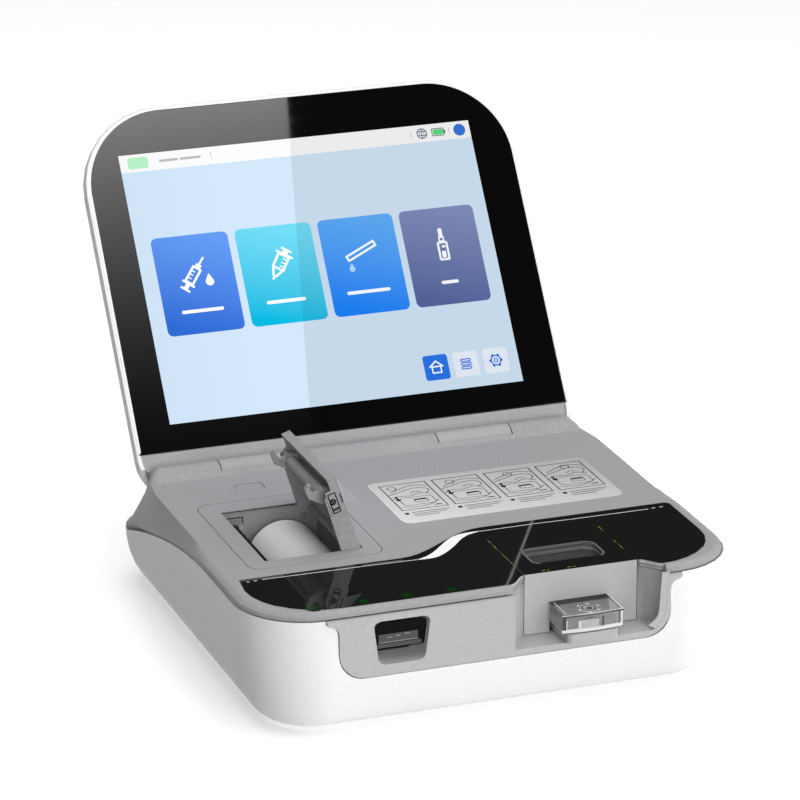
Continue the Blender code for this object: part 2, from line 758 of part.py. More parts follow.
def upper_housing():
    skirt = WALL + SEAT_GAP
    rings = [plate_ring(0.0, 0.0), plate_ring(0.5, 0.5), band_ring(), plate_ring(1.0, 1.0)]
    rings += [seam_ring(skirt, -SEAT_GAP), seam_ring(skirt + SKIRT_TAPER, SKIRT_DEPTH)]
    obj = loft("upper_shell", rings)
    hollow_top = [(x * 0.97, (y - HINGE_Y / 3) * 0.97 + HINGE_Y / 3, TOP_Z - TOP_WALL) for x, y, _ in rings[0]]
    hollow_low = seam_ring(skirt + SKIRT_WALL, SKIRT_DEPTH * 0.4)
    hollow_end = [(x, y, z - SKIRT_DEPTH - 0.02) for x, y, z in hollow_low]
    hollow = loft("upper_hollow", [hollow_top, hollow_low, hollow_end])
    guard = rod("hinge_guard", "X", GUTTER_RADIUS + TOP_WALL, (HINGE_Y, HINGE_Z), -BODY_WIDTH, BODY_WIDTH, 32)
    cut(hollow, guard)
    settle(hollow)
    cut(obj, hollow)
    cut(obj, gutter())
    join(obj, ridge("hinge_bar"))
    for low, high in knuckle_spans(RUN_GAP):
        slot = rod("knuckle_slot", "X", RIDGE_RADIUS + RUN_GAP, (HINGE_Y, HINGE_Z), low, high, 32)
        reach = HINGE_PIN_REACH + SEAT_GAP
        way = rod("pin_way", "X", HINGE_PIN_RADIUS + SEAT_GAP, (HINGE_Y, HINGE_Z), low - reach, high + reach, 12)
        cut(obj, slot, way)
    cut(
        obj,
        prism("panel_seat", "Z", panel_outline(-SEAT_GAP), TOP_Z - PANEL_THICK - SEAT_GAP, TOP_Z + 0.01),
        prism("bay_way", "Z", bay_plan(), TOP_Z - 0.04, TOP_Z + 0.02),
        prism(
            "printer_way", "Z",
            rounded_box(
                PRINTER_LEFT - SEAT_GAP, PRINTER_RIGHT + SEAT_GAP,
                depth(PRINTER_FRONT) - SEAT_GAP, depth(PRINTER_BACK) + SEAT_GAP, PRINTER_CORNER, steps=4,
            ),
            TOP_Z - 0.02, TOP_Z + 0.01,
        ),
        prism(
            "release_way", "Z",
            rounded_box(
                RELEASE_LEFT - SEAT_GAP, RELEASE_RIGHT + SEAT_GAP,
                depth(RELEASE_FRONT) - SEAT_GAP, depth(RELEASE_BACK) + SEAT_GAP, 0.0014, steps=3,
            ),
            TOP_Z - 0.008, TOP_Z + 0.01,
        ),
    )
    for x in LAMP_X:
        spot = (x, depth(LAMP_FROM_FRONT))
        cut(obj, rod("lamp_way", "Z", LAMP_RADIUS + SEAT_GAP, spot, TOP_Z - 0.01, TOP_Z, 12))
    relief = FASCIA_HALF + FASCIA_TAB + 0.004
    cut(
        obj,
        box("rim_relief", (-relief, FRONT_Y - 0.02, 0.0), (relief, depth(FASCIA_THICK) + SEAT_GAP, RIM_Z)),
        box("skirt_relief", (-relief, depth(FASCIA_THICK), 0.0), (relief, depth(0.0130), TOP_Z - TOP_WALL)),
    )
    finish(obj, "upper_housing", "grey_shell")


def front_fascia():
    obj = prism("fascia", "Y", fascia_outline(SEAT_GAP), depth(0.0002), depth(FASCIA_BAY_DEPTH))
    top = RIM_Z - SEAT_GAP
    pocket_left = SCANNER_CENTRE - SCANNER_TOP_HALF - 0.0020
    pocket_right = SCANNER_CENTRE + SCANNER_TOP_HALF + 0.0020
    bay_wall = BAY_LEFT - BAY_FLARE - 0.0025
    low, high = BOTTOM_Z, TOP_Z + 0.02
    for name, x0, x1, start in (
        ("left_relief", -BODY_WIDTH, pocket_left, FASCIA_THICK),
        ("pocket_relief", pocket_left - 0.001, pocket_right + 0.001, SCANNER_DEPTH),
        ("middle_relief", pocket_right, bay_wall, FASCIA_THICK),
    ):
        cut(obj, box(name, (x0, depth(start), low), (x1, depth(FASCIA_BAY_DEPTH + 0.01), high)))
    brow = box(
        "pocket_brow", (pocket_left - 0.001, depth(FASCIA_THICK), SCANNER_TOP_Z + 0.0009),
        (pocket_right + 0.001, depth(FASCIA_BAY_DEPTH + 0.01), high),
    )
    cut(obj, brow)
    shelf = box(
        "wall_tops", (-BODY_WIDTH, depth(FASCIA_THICK), TOP_Z - TOP_WALL - SEAT_GAP), (BODY_WIDTH, depth(0.04), high)
    )
    cut(obj, shelf)
    over = box("over_fascia", (-BODY_WIDTH, FRONT_Y - 0.03, top), (BODY_WIDTH, depth(0.04), high))
    bay = prism("fascia_bay", "Z", bay_plan(), BAY_FLOOR_Z, high)
    keep(bay, prism("bay_limit", "Y", fascia_outline(SEAT_GAP + FASCIA_EDGE), FRONT_Y - 0.01, depth(0.06)))
    cut(obj, over, bay)
    window = rounded_box(-1, 1, -1, 1, 0.28, steps=3)
    rings = []
    middle = (SCANNER_TOP_Z + SCANNER_LOW_Z) / 2
    half_height = (SCANNER_TOP_Z - SCANNER_LOW_Z) / 2
    for y, grow in ((depth(-0.002), 1.06), (depth(SCANNER_DEPTH + 0.002), 0.84)):
        ring = []
        for a, b in window:
            half = SCANNER_LOW_HALF + (SCANNER_TOP_HALF - SCANNER_LOW_HALF) * (b + 1) / 2
            ring.append((SCANNER_CENTRE + a * half * grow, y, middle + b * half_height * grow))
        rings.append(ring)
    cut(obj, loft("scanner_funnel", rings))
    finish(obj, "front_fascia", "pale_grey")


def control_panel():
    obj = prism("panel", "Z", panel_outline(0.0), TOP_Z - PANEL_THICK, TOP_Z)
    cut(obj, prism("panel_bay", "Z", bay_plan(), TOP_Z - 0.02, TOP_Z + 0.02))
    for x in LAMP_X:
        spot = (x, depth(LAMP_FROM_FRONT))
        cut(obj, rod("lamp_hole", "Z", LAMP_RADIUS + SEAT_GAP, spot, TOP_Z - 0.01, TOP_Z + 0.01, 12))
    finish(obj, "control_panel", "black_gloss")


def lamp_strip():
    """One light guide with a round pip for each lamp."""
    under = TOP_Z - TOP_WALL - SEAT_GAP
    y = depth(LAMP_FROM_FRONT)
    obj = box("lamp_bar", (LAMP_X[0] - 0.003, y - 0.0025, under - 0.0016), (LAMP_X[-1] + 0.003, y + 0.0025, under))
    for x in LAMP_X:
        join(obj, rod("lamp_pip", "Z", LAMP_RADIUS, (x, y), under - 0.001, TOP_Z - 0.0001, 12))
    finish(obj, "status_light_guide", "green_lamp")


def instruction_label():
    outline = rounded_box(LABEL_LEFT, LABEL_RIGHT, depth(LABEL_FRONT), depth(LABEL_BACK), LABEL_CORNER, steps=4)
    obj = prism("label", "Z", outline, TOP_Z + 0.00005, TOP_Z + 0.00005 + LABEL_THICK)
    finish(obj, "instruction_label", "label")


def scoop_outline(grow):
    left, right = SCOOP_LEFT - grow, SCOOP_RIGHT + grow
    front, back = depth(SCOOP_FRONT) - grow, depth(SCOOP_BACK) + grow
    points = [(left + 0.002, front), (right - 0.002, front), (right, front + 0.002)]
    points += [(right, back - 0.004), (right - 0.004, back), (left + 0.004, back), (left, back - 0.004)]
    points += [(left, front + 0.002)]
    return points


def bay_cover():
    left, right = BAY_LEFT + SEAT_GAP, BAY_RIGHT - SEAT_GAP
    top = TOP_Z - COVER_FILM - 0.0001
    face, back = depth(BAY_FACE), depth(BAY_BACK) - RUN_GAP
    obj = box("cover_block", (left, face, BAY_FLOOR_Z + SEAT_GAP), (right, back, top))
    hollow = box(
        "cover_hollow",
        (left + BAY_COVER_WALL, face + BAY_COVER_WALL, BAY_FLOOR_Z - 0.01),
        (right - BAY_COVER_WALL, back + 0.01, TOP_Z - BAY_ROOF),
    )
    notch = prism(
        "cover_notch", "Y",
        rounded_box(NOTCH_LEFT, NOTCH_RIGHT, BAY_FLOOR_Z - 0.01, NOTCH_TOP_Z, 0.0015, steps=3),
        face - 0.01, face + BAY_COVER_WALL + 0.01,
    )
    dish = prism("scoop", "Z", scoop_outline(0.0), TOP_Z - SCOOP_DEPTH, TOP_Z + 0.01)
    cut(obj, hollow, notch, dish)
    middle = ((left + right) / 2, face, BAY_FLOOR_Z)
    finish(obj, "bay_cover", "pale_grey", middle)
    film = box("cover_film", (left, face, top + 0.0001), (right, back, TOP_Z))
    cut(film, prism("film_scoop", "Z", scoop_outline(0.0003), TOP_Z - 0.01, TOP_Z + 0.01))
    finish(film, "bay_cover_film", "black_gloss", middle)


def cartridge_plan(inset):
    """A cartridge outline with a gently bowed front."""
    half = CARTRIDGE_WIDTH / 2 - inset
    front = depth(-CARTRIDGE_OVERHANG) + inset
    back = front + CARTRIDGE_LENGTH - 2 * inset
    points = [(CARTRIDGE_CENTRE + half, back), (CARTRIDGE_CENTRE - half, back)]
    for i in range(9):
        share = -1 + 2 * i / 8
        bow = CARTRIDGE_BOW * (1 - share * share)
        points.append((CARTRIDGE_CENTRE + share * half, front - bow))
    return points


def cartridge_and_tray():
    tray_low = BAY_FLOOR_Z + SEAT_GAP
    tray_top = tray_low + TRAY_THICK
    low = tray_top + SEAT_GAP
    high = low + CARTRIDGE_HEIGHT
    half = TRAY_WIDTH / 2
    front, back = depth(-TRAY_OVERHANG), depth(MODULE_FROM_FRONT + 0.02)
    outline = rounded_box(CARTRIDGE_CENTRE - half, CARTRIDGE_CENTRE + half, front, back, 0.002, steps=3)
    tray = prism("tray", "Z", outline, tray_low, tray_top)
    cut(tray, prism("tray_well", "Z", [
        (CARTRIDGE_CENTRE - half + 0.003, front + 0.012), (CARTRIDGE_CENTRE + half - 0.003, front + 0.012),
        (CARTRIDGE_CENTRE + half - 0.003, back - 0.006), (CARTRIDGE_CENTRE - half + 0.003, back - 0.006),
    ], tray_top - 0.0012, tray_top + 0.01))
    finish(tray, "cartridge_tray", "pale_grey")
    wall = 0.0014
    body = prism("cartridge", "Z", cartridge_plan(0.0), low, high - 0.0022)
    cut(body, prism("cartridge_well", "Z", cartridge_plan(wall), low + wall, high + 0.01))
    middle = (CARTRIDGE_CENTRE, depth(0.0))
    join(
        body,
        rod("sample_ring", "Z", 0.0042, middle, low + wall * 0.5, high - 0.0030, 20),
        box("flow_channel", (middle[0] - 0.0012, middle[1] + 0.002, low + wall * 0.5),
            (middle[0] + 0.0012, middle[1] + 0.034, low + 0.0036)),
    )
    cut(body, rod("sample_port", "Z", 0.0028, middle, low + wall, high + 0.01, 20))
    finish(body, "cartridge_body", "clear_smoke", (CARTRIDGE_CENTRE, depth(0.0), low))
    lid = prism("cartridge_lid", "Z", cartridge_plan(0.0), high - 0.0022 + SEAT_GAP, high)
    cut(lid, rod("lid_port", "Z", 0.0030, middle, low, high + 0.01, 20))
    finish(lid, "cartridge_lid", "clear_smoke", (CARTRIDGE_CENTRE, depth(0.0), low))
    rod_low, rod_high = low + wall + SEAT_GAP, high - 0.0035
    sample = rod("port_seal", "Z", 0.0028 - SEAT_GAP, middle, rod_low, rod_high, 20)
    finish(sample, "cartridge_port_seal", "rubber", (CARTRIDGE_CENTRE, depth(0.0), low))


def measuring_module():
    x0, x1 = BAY_LEFT + SEAT_GAP + BAY_COVER_WALL + 0.0010, BAY_RIGHT - SEAT_GAP - BAY_COVER_WALL - 0.0010
    y0, y1 = depth(MODULE_FROM_FRONT), depth(MODULE_FROM_FRONT + MODULE_LENGTH)
    obj = box("module", (x0, y0, FLOOR_Z + SEAT_GAP), (x1, y1, TOP_Z - BAY_ROOF - 0.0010))
    slot_half = CARTRIDGE_WIDTH / 2 + 0.0006
    slot = box(
        "module_slot",
        (CARTRIDGE_CENTRE - slot_half, y0 - 0.01, BAY_FLOOR_Z),
        (CARTRIDGE_CENTRE + slot_half, y0 + 0.024, NOTCH_TOP_Z - 0.0004),
    )
    cut(obj, slot)
    for i in range(5):
        z = FLOOR_Z + 0.004 + i * 0.0036
        fin = box("module_fin", (x0 - 0.01, y0 + 0.006, z), (x0 + 0.004, y1 - 0.006, z + 0.0016))
        cut(obj, fin)
    finish(obj, "measuring_module", "steel")
    motor_y = y1 + SEAT_GAP
    motor = rod("motor", "Y", 0.0100, (CARTRIDGE_CENTRE, 0.0200), motor_y, motor_y + 0.0220, 24)
    shaft_end = rod("motor_cap", "Y", 0.0050, (CARTRIDGE_CENTRE, 0.0200), motor_y + 0.021, motor_y + 0.0250, 16)
    join(motor, shaft_end)
    finish(motor, "valve_motor", "steel")


def scanner():
    back = depth(SCANNER_DEPTH) + SEAT_GAP
    half = SCANNER_TOP_HALF + 0.001
    frame = box(
        "scanner_frame", (SCANNER_CENTRE - half, back, SCANNER_LOW_Z),
        (SCANNER_CENTRE + half, back + 0.0022, SCANNER_TOP_Z + 0.001),
    )
    hole = box(
        "scanner_hole", (SCANNER_CENTRE - 0.0082, back - 0.01, SCANNER_LOW_Z + 0.0042),
        (SCANNER_CENTRE + 0.0082, back + 0.01, SCANNER_TOP_Z - 0.0042),
    )
    cut(frame, hole)
    finish(frame, "scanner_frame", "black_matte")
    y0 = back + 0.0022 + SEAT_GAP
    glass = box(
        "window", (SCANNER_CENTRE - half, y0, SCANNER_LOW_Z), (SCANNER_CENTRE + half, y0 + 0.001, SCANNER_TOP_Z)
    )
    finish(glass, "scanner_window", "clear_smoke")
    y1 = y0 + 0.001 + SEAT_GAP
    engine = box(
        "engine", (SCANNER_CENTRE - 0.0110, y1, SCANNER_LOW_Z + 0.001), (SCANNER_CENTRE + 0.0110, y1 + 0.0120, SCANNER_TOP_Z)
    )
    for x in (-0.0050, 0.0045):
        eye = rod("engine_eye", "Y", 0.0028, (SCANNER_CENTRE + x, (SCANNER_LOW_Z + SCANNER_TOP_Z) / 2), y1 - 0.01, y1 + 0.004, 16)
        cut(engine, eye)
    finish(engine, "scanner_engine", "dark_grey")


def printer_frame():
    outline = rounded_box(
        PRINTER_LEFT, PRINTER_RIGHT, depth(PRINTER_FRONT), depth(PRINTER_BACK), PRINTER_CORNER, steps=4
    )
    obj = prism("printer_plate", "Z", outline, TOP_Z - FRAME_PLATE, TOP_Z)
    trough = ROLL_RADIUS + SEAT_GAP
    low = ROLL_Z - trough - FRAME_WALL
    left = PLATEN_X - PLATEN_RADIUS - 0.0012
    front, back = depth(MOUTH_FRONT), depth(MOUTH_BACK)
    bucket = box(
        "bucket", (left - FRAME_WALL, front - FRAME_WALL, low),
        (MOUTH_RIGHT + FRAME_WALL, back + FRAME_WALL, TOP_Z - FRAME_PLATE / 2),
    )
    join(obj, bucket)
    turn = math.degrees(math.asin((PRINTER_SILL_Z - ROLL_Z) / trough))
    profile = [(MOUTH_LEFT, TOP_Z + 0.01), (MOUTH_LEFT, TOP_Z - FRAME_PLATE), (left, TOP_Z - FRAME_PLATE)]
    profile += [(left, PRINTER_SILL_Z)]
    profile += arc((ROLL_X, ROLL_Z), trough, 180 - turn, 360, 20)
    profile += [(MOUTH_RIGHT, ROLL_Z + 0.0040), (MOUTH_RIGHT, TOP_Z + 0.01)]
    cut(obj, prism("printer_hollow", "Y", profile, front, back))
    latch_x = FLAP_AXIS_X - HOOK_REACH
    latch_z = TOP_Z - FLAP_AXIS_DROP - HOOK_DROP
    for y0, y1 in ((front - 0.001, front + 0.0040), (back - 0.0040, back + 0.001)):
        join(obj, rod("latch_pin", "Y", LATCH_PIN_RADIUS, (latch_x, latch_z), y0, y1, 12))
    axis_z = TOP_Z - FLAP_AXIS_DROP
    reach = 0.0025
    for y0, y1 in ((front - reach, front + 0.001), (back - 0.001, back + reach)):
        cut(obj, rod("pin_seat", "Y", FLAP_PIN_RADIUS + SEAT_GAP, (FLAP_AXIS_X, axis_z), y0, y1, 12))
        cut(obj, rod("platen_seat", "Y", 0.0016, (PLATEN_X, PLATEN_Z), y0, y1, 12))
    finish(obj, "printer_frame", "grey_shell")


def paper_roll():
    centre_y = depth((MOUTH_FRONT + MOUTH_BACK) / 2)
    y0, y1 = centre_y - ROLL_LENGTH / 2, centre_y + ROLL_LENGTH / 2
    obj = rod("roll", "Y", ROLL_RADIUS, (ROLL_X, ROLL_Z), y0, y1, 40)
    cut(obj, rod("roll_core", "Y", ROLL_CORE, (ROLL_X, ROLL_Z), y0 - 0.01, y1 + 0.01, 20))
    finish(obj, "paper_roll", "paper")


def platen():
    front, back = depth(MOUTH_FRONT), depth(MOUTH_BACK)
    middle = (PLATEN_X, (front + back) / 2, PLATEN_Z)
    obj = rod("platen", "Y", PLATEN_RADIUS, (PLATEN_X, PLATEN_Z), front + 0.003, back - 0.0075, 20)
    join(obj, rod("platen_shaft", "Y", 0.0013, (PLATEN_X, PLATEN_Z), front - 0.0010, back + 0.0010, 12))
    finish(obj, "platen_roller", "rubber", middle)
    teeth = 16
    points = []
    for i in range(teeth * 4):
        angle = 2 * math.pi * i / (teeth * 4)
        radius = PLATEN_RADIUS * (1.03 if i % 4 in (0, 1) else 0.86)
        points.append((PLATEN_X + radius * math.cos(angle), PLATEN_Z + radius * math.sin(angle)))
    gear = prism("gear", "Y", points, back - 0.0070, back - 0.0042)
    cut(gear, rod("gear_bore", "Y", 0.0013 + 0.0001, (PLATEN_X, PLATEN_Z), back - 0.02, back + 0.02, 12))
    finish(gear, "platen_gear", "black_matte", middle)
    head_top = PLATEN_Z - PLATEN_RADIUS - SEAT_GAP
    head = box(
        "head", (PLATEN_X - 0.0040, front + SEAT_GAP, head_top - 0.0032), (PLATEN_X + 0.0048, back - SEAT_GAP, head_top)
    )
    finish(head, "print_head", "dark_grey")


def flap():
    """The printer's cover, built closed about its own axis and held open by its empty."""
    front, back = depth(MOUTH_FRONT) + RUN_GAP, depth(MOUTH_BACK) - RUN_GAP
    axis = bpy.data.objects.new("printer_cover_axis", None)
    axis.location = (FLAP_AXIS_X, (front + back) / 2, TOP_Z - FLAP_AXIS_DROP)
    axis.rotation_euler = (0, math.radians(FLAP_OPEN), 0)
    parts.objects.link(axis)
    half = (back - front) / 2
    top = FLAP_AXIS_DROP
    under = top - FLAP_THICK
    obj = box("flap_panel", (-FLAP_LENGTH, -half, under), (0.0002, half, top))
    flange = [(0.0, top - 0.0004), (-FLAP_LENGTH + 0.0004, top - 0.0004), (-FLAP_LENGTH + 0.0004, -0.0014)]
    flange += [(-FLAP_LENGTH + 0.0060, -0.0014), (-FLAP_LENGTH + 0.0080, -FLAP_FLANGE + 0.0006)]
    flange += [(-0.0200, -FLAP_FLANGE + 0.0004), (-0.0034, -FLAP_FLANGE), (0.0, -0.0010)]
    wall = 0.0017
    extra = [
        prism("flange_front", "Y", flange, -half, -half + wall),
        prism("flange_back", "Y", flange, half - wall, half),
        box("flap_lip", (-FLAP_LENGTH, -half, -0.0016), (-FLAP_LENGTH + 0.0016, half, top - 0.0005)),
        rod("flap_barrel", "Y", FLAP_AXIS_DROP - 0.0001, (0.0, 0.0), -half, half, 16),
    ]
    for y in (-half + 0.0060, half - 0.0084):
        extra.append(prism("hook", "Y", hook_outline(), y, y + HOOK_THICK))
    join(obj, *extra)
    cut(obj, rod("barrel_bore", "Y", FLAP_PIN_RADIUS + 0.0001, (0.0, 0.0), -half - 0.01, half + 0.01, 12))
    roller_spot = (-FLAP_ROLLER_REACH, -FLAP_ROLLER_DROP)
    cut(obj, rod("roller_bore", "Y", 0.0010, roller_spot, -half + 0.0030, half - 0.0030, 12))
    finish(obj, "printer_cover", "grey_shell", parent=axis)
    low, high = -half + 0.0060 + HOOK_THICK + RUN_GAP, half - 0.0084 - RUN_GAP
    roller = rod("roller", "Y", FLAP_ROLLER_RADIUS, (0.0, 0.0), low, high, 20)
    join(roller, rod("roller_axle", "Y", 0.0009, (0.0, 0.0), low - 0.0022, high + 0.0022, 12))
    finish(roller, "cover_roller", "grey_shell", parent=axis)
    roller.location = (roller_spot[0], 0.0, roller_spot[1])
    for mod in roller.modifiers:
        mod.object.location = roller.location
    pin_y0, pin_y1 = depth(MOUTH_FRONT) - 0.0022, depth(MOUTH_BACK) + 0.0022
    pin = rod("pin", "Y", FLAP_PIN_RADIUS, (FLAP_AXIS_X, TOP_Z - FLAP_AXIS_DROP), pin_y0, pin_y1, 12)
    finish(pin, "printer_cover_pin", "steel")


def hook_outline():
    """A J-shaped latch that hangs from the flap, its notch open to the flap's free end."""
    reach, drop = HOOK_REACH, HOOK_DROP
    gap = LATCH_PIN_RADIUS + 0.0005
    points = [(-reach + 0.0105, 0.0006), (-reach + 0.0025, 0.0006), (-reach + 0.0016, -drop + gap + 0.0012)]
    points += [(-reach - 0.0004, -drop + gap + 0.0004)]
    points += arc((-reach, -drop), gap, 70, -90, 6)
    points += [(-reach - 0.0016, -drop - gap), (-reach - 0.0021, -drop - gap + 0.0009)]
    points += [(-reach - 0.0027, -drop - gap - 0.0004), (-reach - 0.0012, -drop - gap - 0.0022)]
    points += [(-reach + 0.0030, -drop - gap - 0.0020), (-reach + 0.0072, -drop + 0.0002)]
    return points


def release_button():
    outline = rounded_box(
        RELEASE_LEFT, RELEASE_RIGHT, depth(RELEASE_FRONT), depth(RELEASE_BACK), 0.0012, steps=3
    )
    obj = prism("button", "Z", outline, TOP_Z - 0.0052, TOP_Z - 0.0001)
    x, y = (RELEASE_LEFT + RELEASE_RIGHT) / 2, depth((RELEASE_FRONT + RELEASE_BACK) / 2)
    collar = box("button_collar", (RELEASE_LEFT - 0.0008, depth(RELEASE_FRONT) - 0.0008, TOP_Z - TOP_WALL - 0.0016),
                 (RELEASE_RIGHT + 0.0008, depth(RELEASE_BACK) + 0.0008, TOP_Z - TOP_WALL - SEAT_GAP))
    join(obj, collar)
    finish(obj, "printer_release_button", "grey_shell", (x, y, TOP_Z))


def lid_frame():
    """The lid's empty: on the hinge axis, its own Y up the lid and its own Z out of the glass."""
    axis = bpy.data.objects.new("lid_axis", None)
    axis.location = (0.0, HINGE_Y, HINGE_Z)
    axis.rotation_euler = (math.radians(90) - LEAN, 0, 0)
    parts.objects.link(axis)
    return axis


def lid_outline(inset, low, top_corner, low_corner):
    return rounded_box(
        -(LID_HALF - inset), LID_HALF - inset, low, LID_REACH - inset,
        max(low_corner - inset, 0.001), max(top_corner - inset, 0.001), steps=8,
    )


def lid(axis):
    front = -GLASS_BACK
    rings = []
    for inset, z in ((0.0006, 0.0), (0.0, -0.0008), (0.0, -0.0040), (0.0009, -0.0072), (0.0032, -0.0098),
                     (LID_BACK_ROUND, -LID_THICK)):
        outline = lid_outline(inset, -LID_TAIL + inset, LID_TOP_CORNER, LID_LOW_CORNER)
        rings.append([(x, y, front + z) for x, y in outline])
    shell = loft("lid_dish", rings)
    rim = lid_outline(LID_WALL, -LID_TAIL - 0.02, LID_TOP_CORNER, 0.010)
    floor = [(x, y, front - LID_THICK + LID_WALL) for x, y in lid_outline(LID_BACK_ROUND, -LID_TAIL - 0.02,
                                                                          LID_TOP_CORNER, 0.010)]
    hollow = loft("lid_hollow", [
        [(x, y, front + 0.01) for x, y in rim], [(x, y, front - 0.0060) for x, y in rim], floor,
    ])
    swing = rod("bezel_room", "X", TROUGH_RADIUS + BEZEL_WALL + SEAT_GAP, (0.0, 0.0), -LID_HALF, LID_HALF, 40)
    keep(swing, bezel_plan("bezel_seat", BEZEL_INSET - SEAT_GAP))
    settle(swing)
    bar = rod("ridge_room", "X", TROUGH_RADIUS + SEAT_GAP, (0.0, 0.0), -BODY_WIDTH, BODY_WIDTH, 40)
    cheeks = box("cheeks", (-0.12, -0.05, -0.03), (0.12, GLASS_START - SEAT_GAP, 0.03))
    cut(cheeks, bezel_plan("cheek_seat", BEZEL_INSET - SEAT_GAP))
    settle(cheeks)
    tail = box("tail_keep", (-0.12, -0.05, -0.03), (0.12, 0.0060, 0.03))
    cut(hollow, tail, cheeks)
    settle(hollow)
    cut(shell, hollow, swing, bar)
    finish(shell, "lid_back_shell", "white_shell", parent=axis)

    margin = LID_HALF - GLASS_MARGIN
    outline = rounded_box(-margin, margin, GLASS_START, LID_REACH - GLASS_MARGIN, 0.0015,
                          LID_TOP_CORNER - GLASS_MARGIN, steps=8)
    glass = prism("glass", "Z", outline, front - GLASS_THICK, front)
    finish(glass, "touch_glass", "black_gloss", parent=axis)

    bezel(axis, front)

    half = SCREEN_WIDTH / 2 + SCREEN_BORDER
    back = front - GLASS_THICK - SEAT_GAP
    panel = box(
        "panel", (SCREEN_SHIFT - half, SCREEN_START - SCREEN_BORDER, back - SCREEN_THICK),
        (SCREEN_SHIFT + half, SCREEN_START + SCREEN_HEIGHT + SCREEN_BORDER, back), 0.0006, 1,
    )
    finish(panel, "display_panel", "screen", parent=axis)
    board_front = back - SCREEN_THICK - SEAT_GAP
    board_low = SCREEN_START + 0.020
    board = box("board", (-0.045, board_low, board_front - BOARD_THICK), (0.045, board_low + 0.060, board_front))
    join(board, box("chip", (-0.010, board_low + 0.020, board_front - BOARD_THICK - 0.0010),
                    (0.010, board_low + 0.040, board_front - BOARD_THICK + 0.0004)))
    finish(board, "display_board", "board", parent=axis)


def bezel_plan(name, inset):
    """A block with the strip's outline, which follows the shell's lower corners."""
    centre = (LID_HALF - LID_LOW_CORNER, LID_LOW_CORNER - LID_TAIL)
    curve = arc(centre, LID_LOW_CORNER - inset, -60, 0, 6)
    right = [(curve[0][0], -0.03)] + curve + [(curve[-1][0], 0.05)]
    left = [(-x, y) for x, y in reversed(right)]
    return prism(name, "Z", right + left, -0.03, 0.03)


def bezel(axis, front):
    """The grey strip under the glass: it wraps round the hinge bar and carries the knuckles."""
    half = LID_HALF - LID_WALL
    sink = front - BEZEL_SINK
    start = -90 + (90 - math.degrees(math.asin(-sink / TROUGH_RADIUS)))
    tail_angle = -122
    wall = TROUGH_RADIUS + BEZEL_WALL
    inner = arc((0.0, 0.0), TROUGH_RADIUS, start, tail_angle, 12)
    outer = arc((0.0, 0.0), wall, tail_angle, -52, 9)
    top_edge = GLASS_START - SEAT_GAP
    profile = [(top_edge, front - 0.0003), (top_edge - 0.0015, sink + 0.0005)] + inner + outer
    profile += [(top_edge + 0.0008, outer[-1][1]), (top_edge + 0.0008, front - GLASS_THICK - SEAT_GAP)]
    profile += [(top_edge, front - GLASS_THICK - SEAT_GAP)]
    obj = prism("strip", "X", profile, -half, half)
    for low, high in knuckle_spans(0.0):
        knuckle = rod("knuckle", "X", RIDGE_RADIUS, (0.0, 0.0), low, high, 32)
        web = prism("knuckle_web", "X", [
            (0.0, 0.0), (0.0070, -0.0048), (0.0086, -0.0060), (0.0, -0.0090), (-0.0046, -0.0068),
        ], low, high)
        join(obj, knuckle, web)
    keep(obj, bezel_plan("bezel_corners", BEZEL_INSET))
    cut(obj, rod("knuckle_bore", "X", HINGE_PIN_RADIUS + SEAT_GAP, (0.0, 0.0), -half, half, 12))
    finish(obj, "lid_front_bezel", "grey_shell", parent=axis)


def hinge_pins():
    for name, (low, high) in zip(("left", "right"), knuckle_spans(RUN_GAP)):
        pin = rod(
            "pin", "X", HINGE_PIN_RADIUS, (HINGE_Y, HINGE_Z), low - HINGE_PIN_REACH, high + HINGE_PIN_REACH, 12
        )
        finish(pin, "hinge_pin_" + name, "steel")


def base_fittings():
    names = ("front_left", "front_right", "rear_left", "rear_right")
    for name, spot in zip(names, foot_spots()):
        top = BOTTOM_Z + 0.0014 - SEAT_GAP
        foot = rod("foot", "Z", FOOT_RADIUS - 0.0006, spot, 0.0, top, 20, top_radius=FOOT_RADIUS)
        cut(foot, rod("foot_bore", "Z", 0.0034, spot, -0.01, top + 0.01, 16))
        finish(foot, "foot_" + name, "rubber")
        head_low = 0.0006
        screw = rod("screw", "Z", 0.0028, spot, head_low, top - 0.0002, 16)
        join(screw, rod("shank", "Z", 0.0020, spot, head_low + 0.001, FLOOR_Z + 0.0040, 12))
        finish(screw, "base_screw_" + name, "steel")


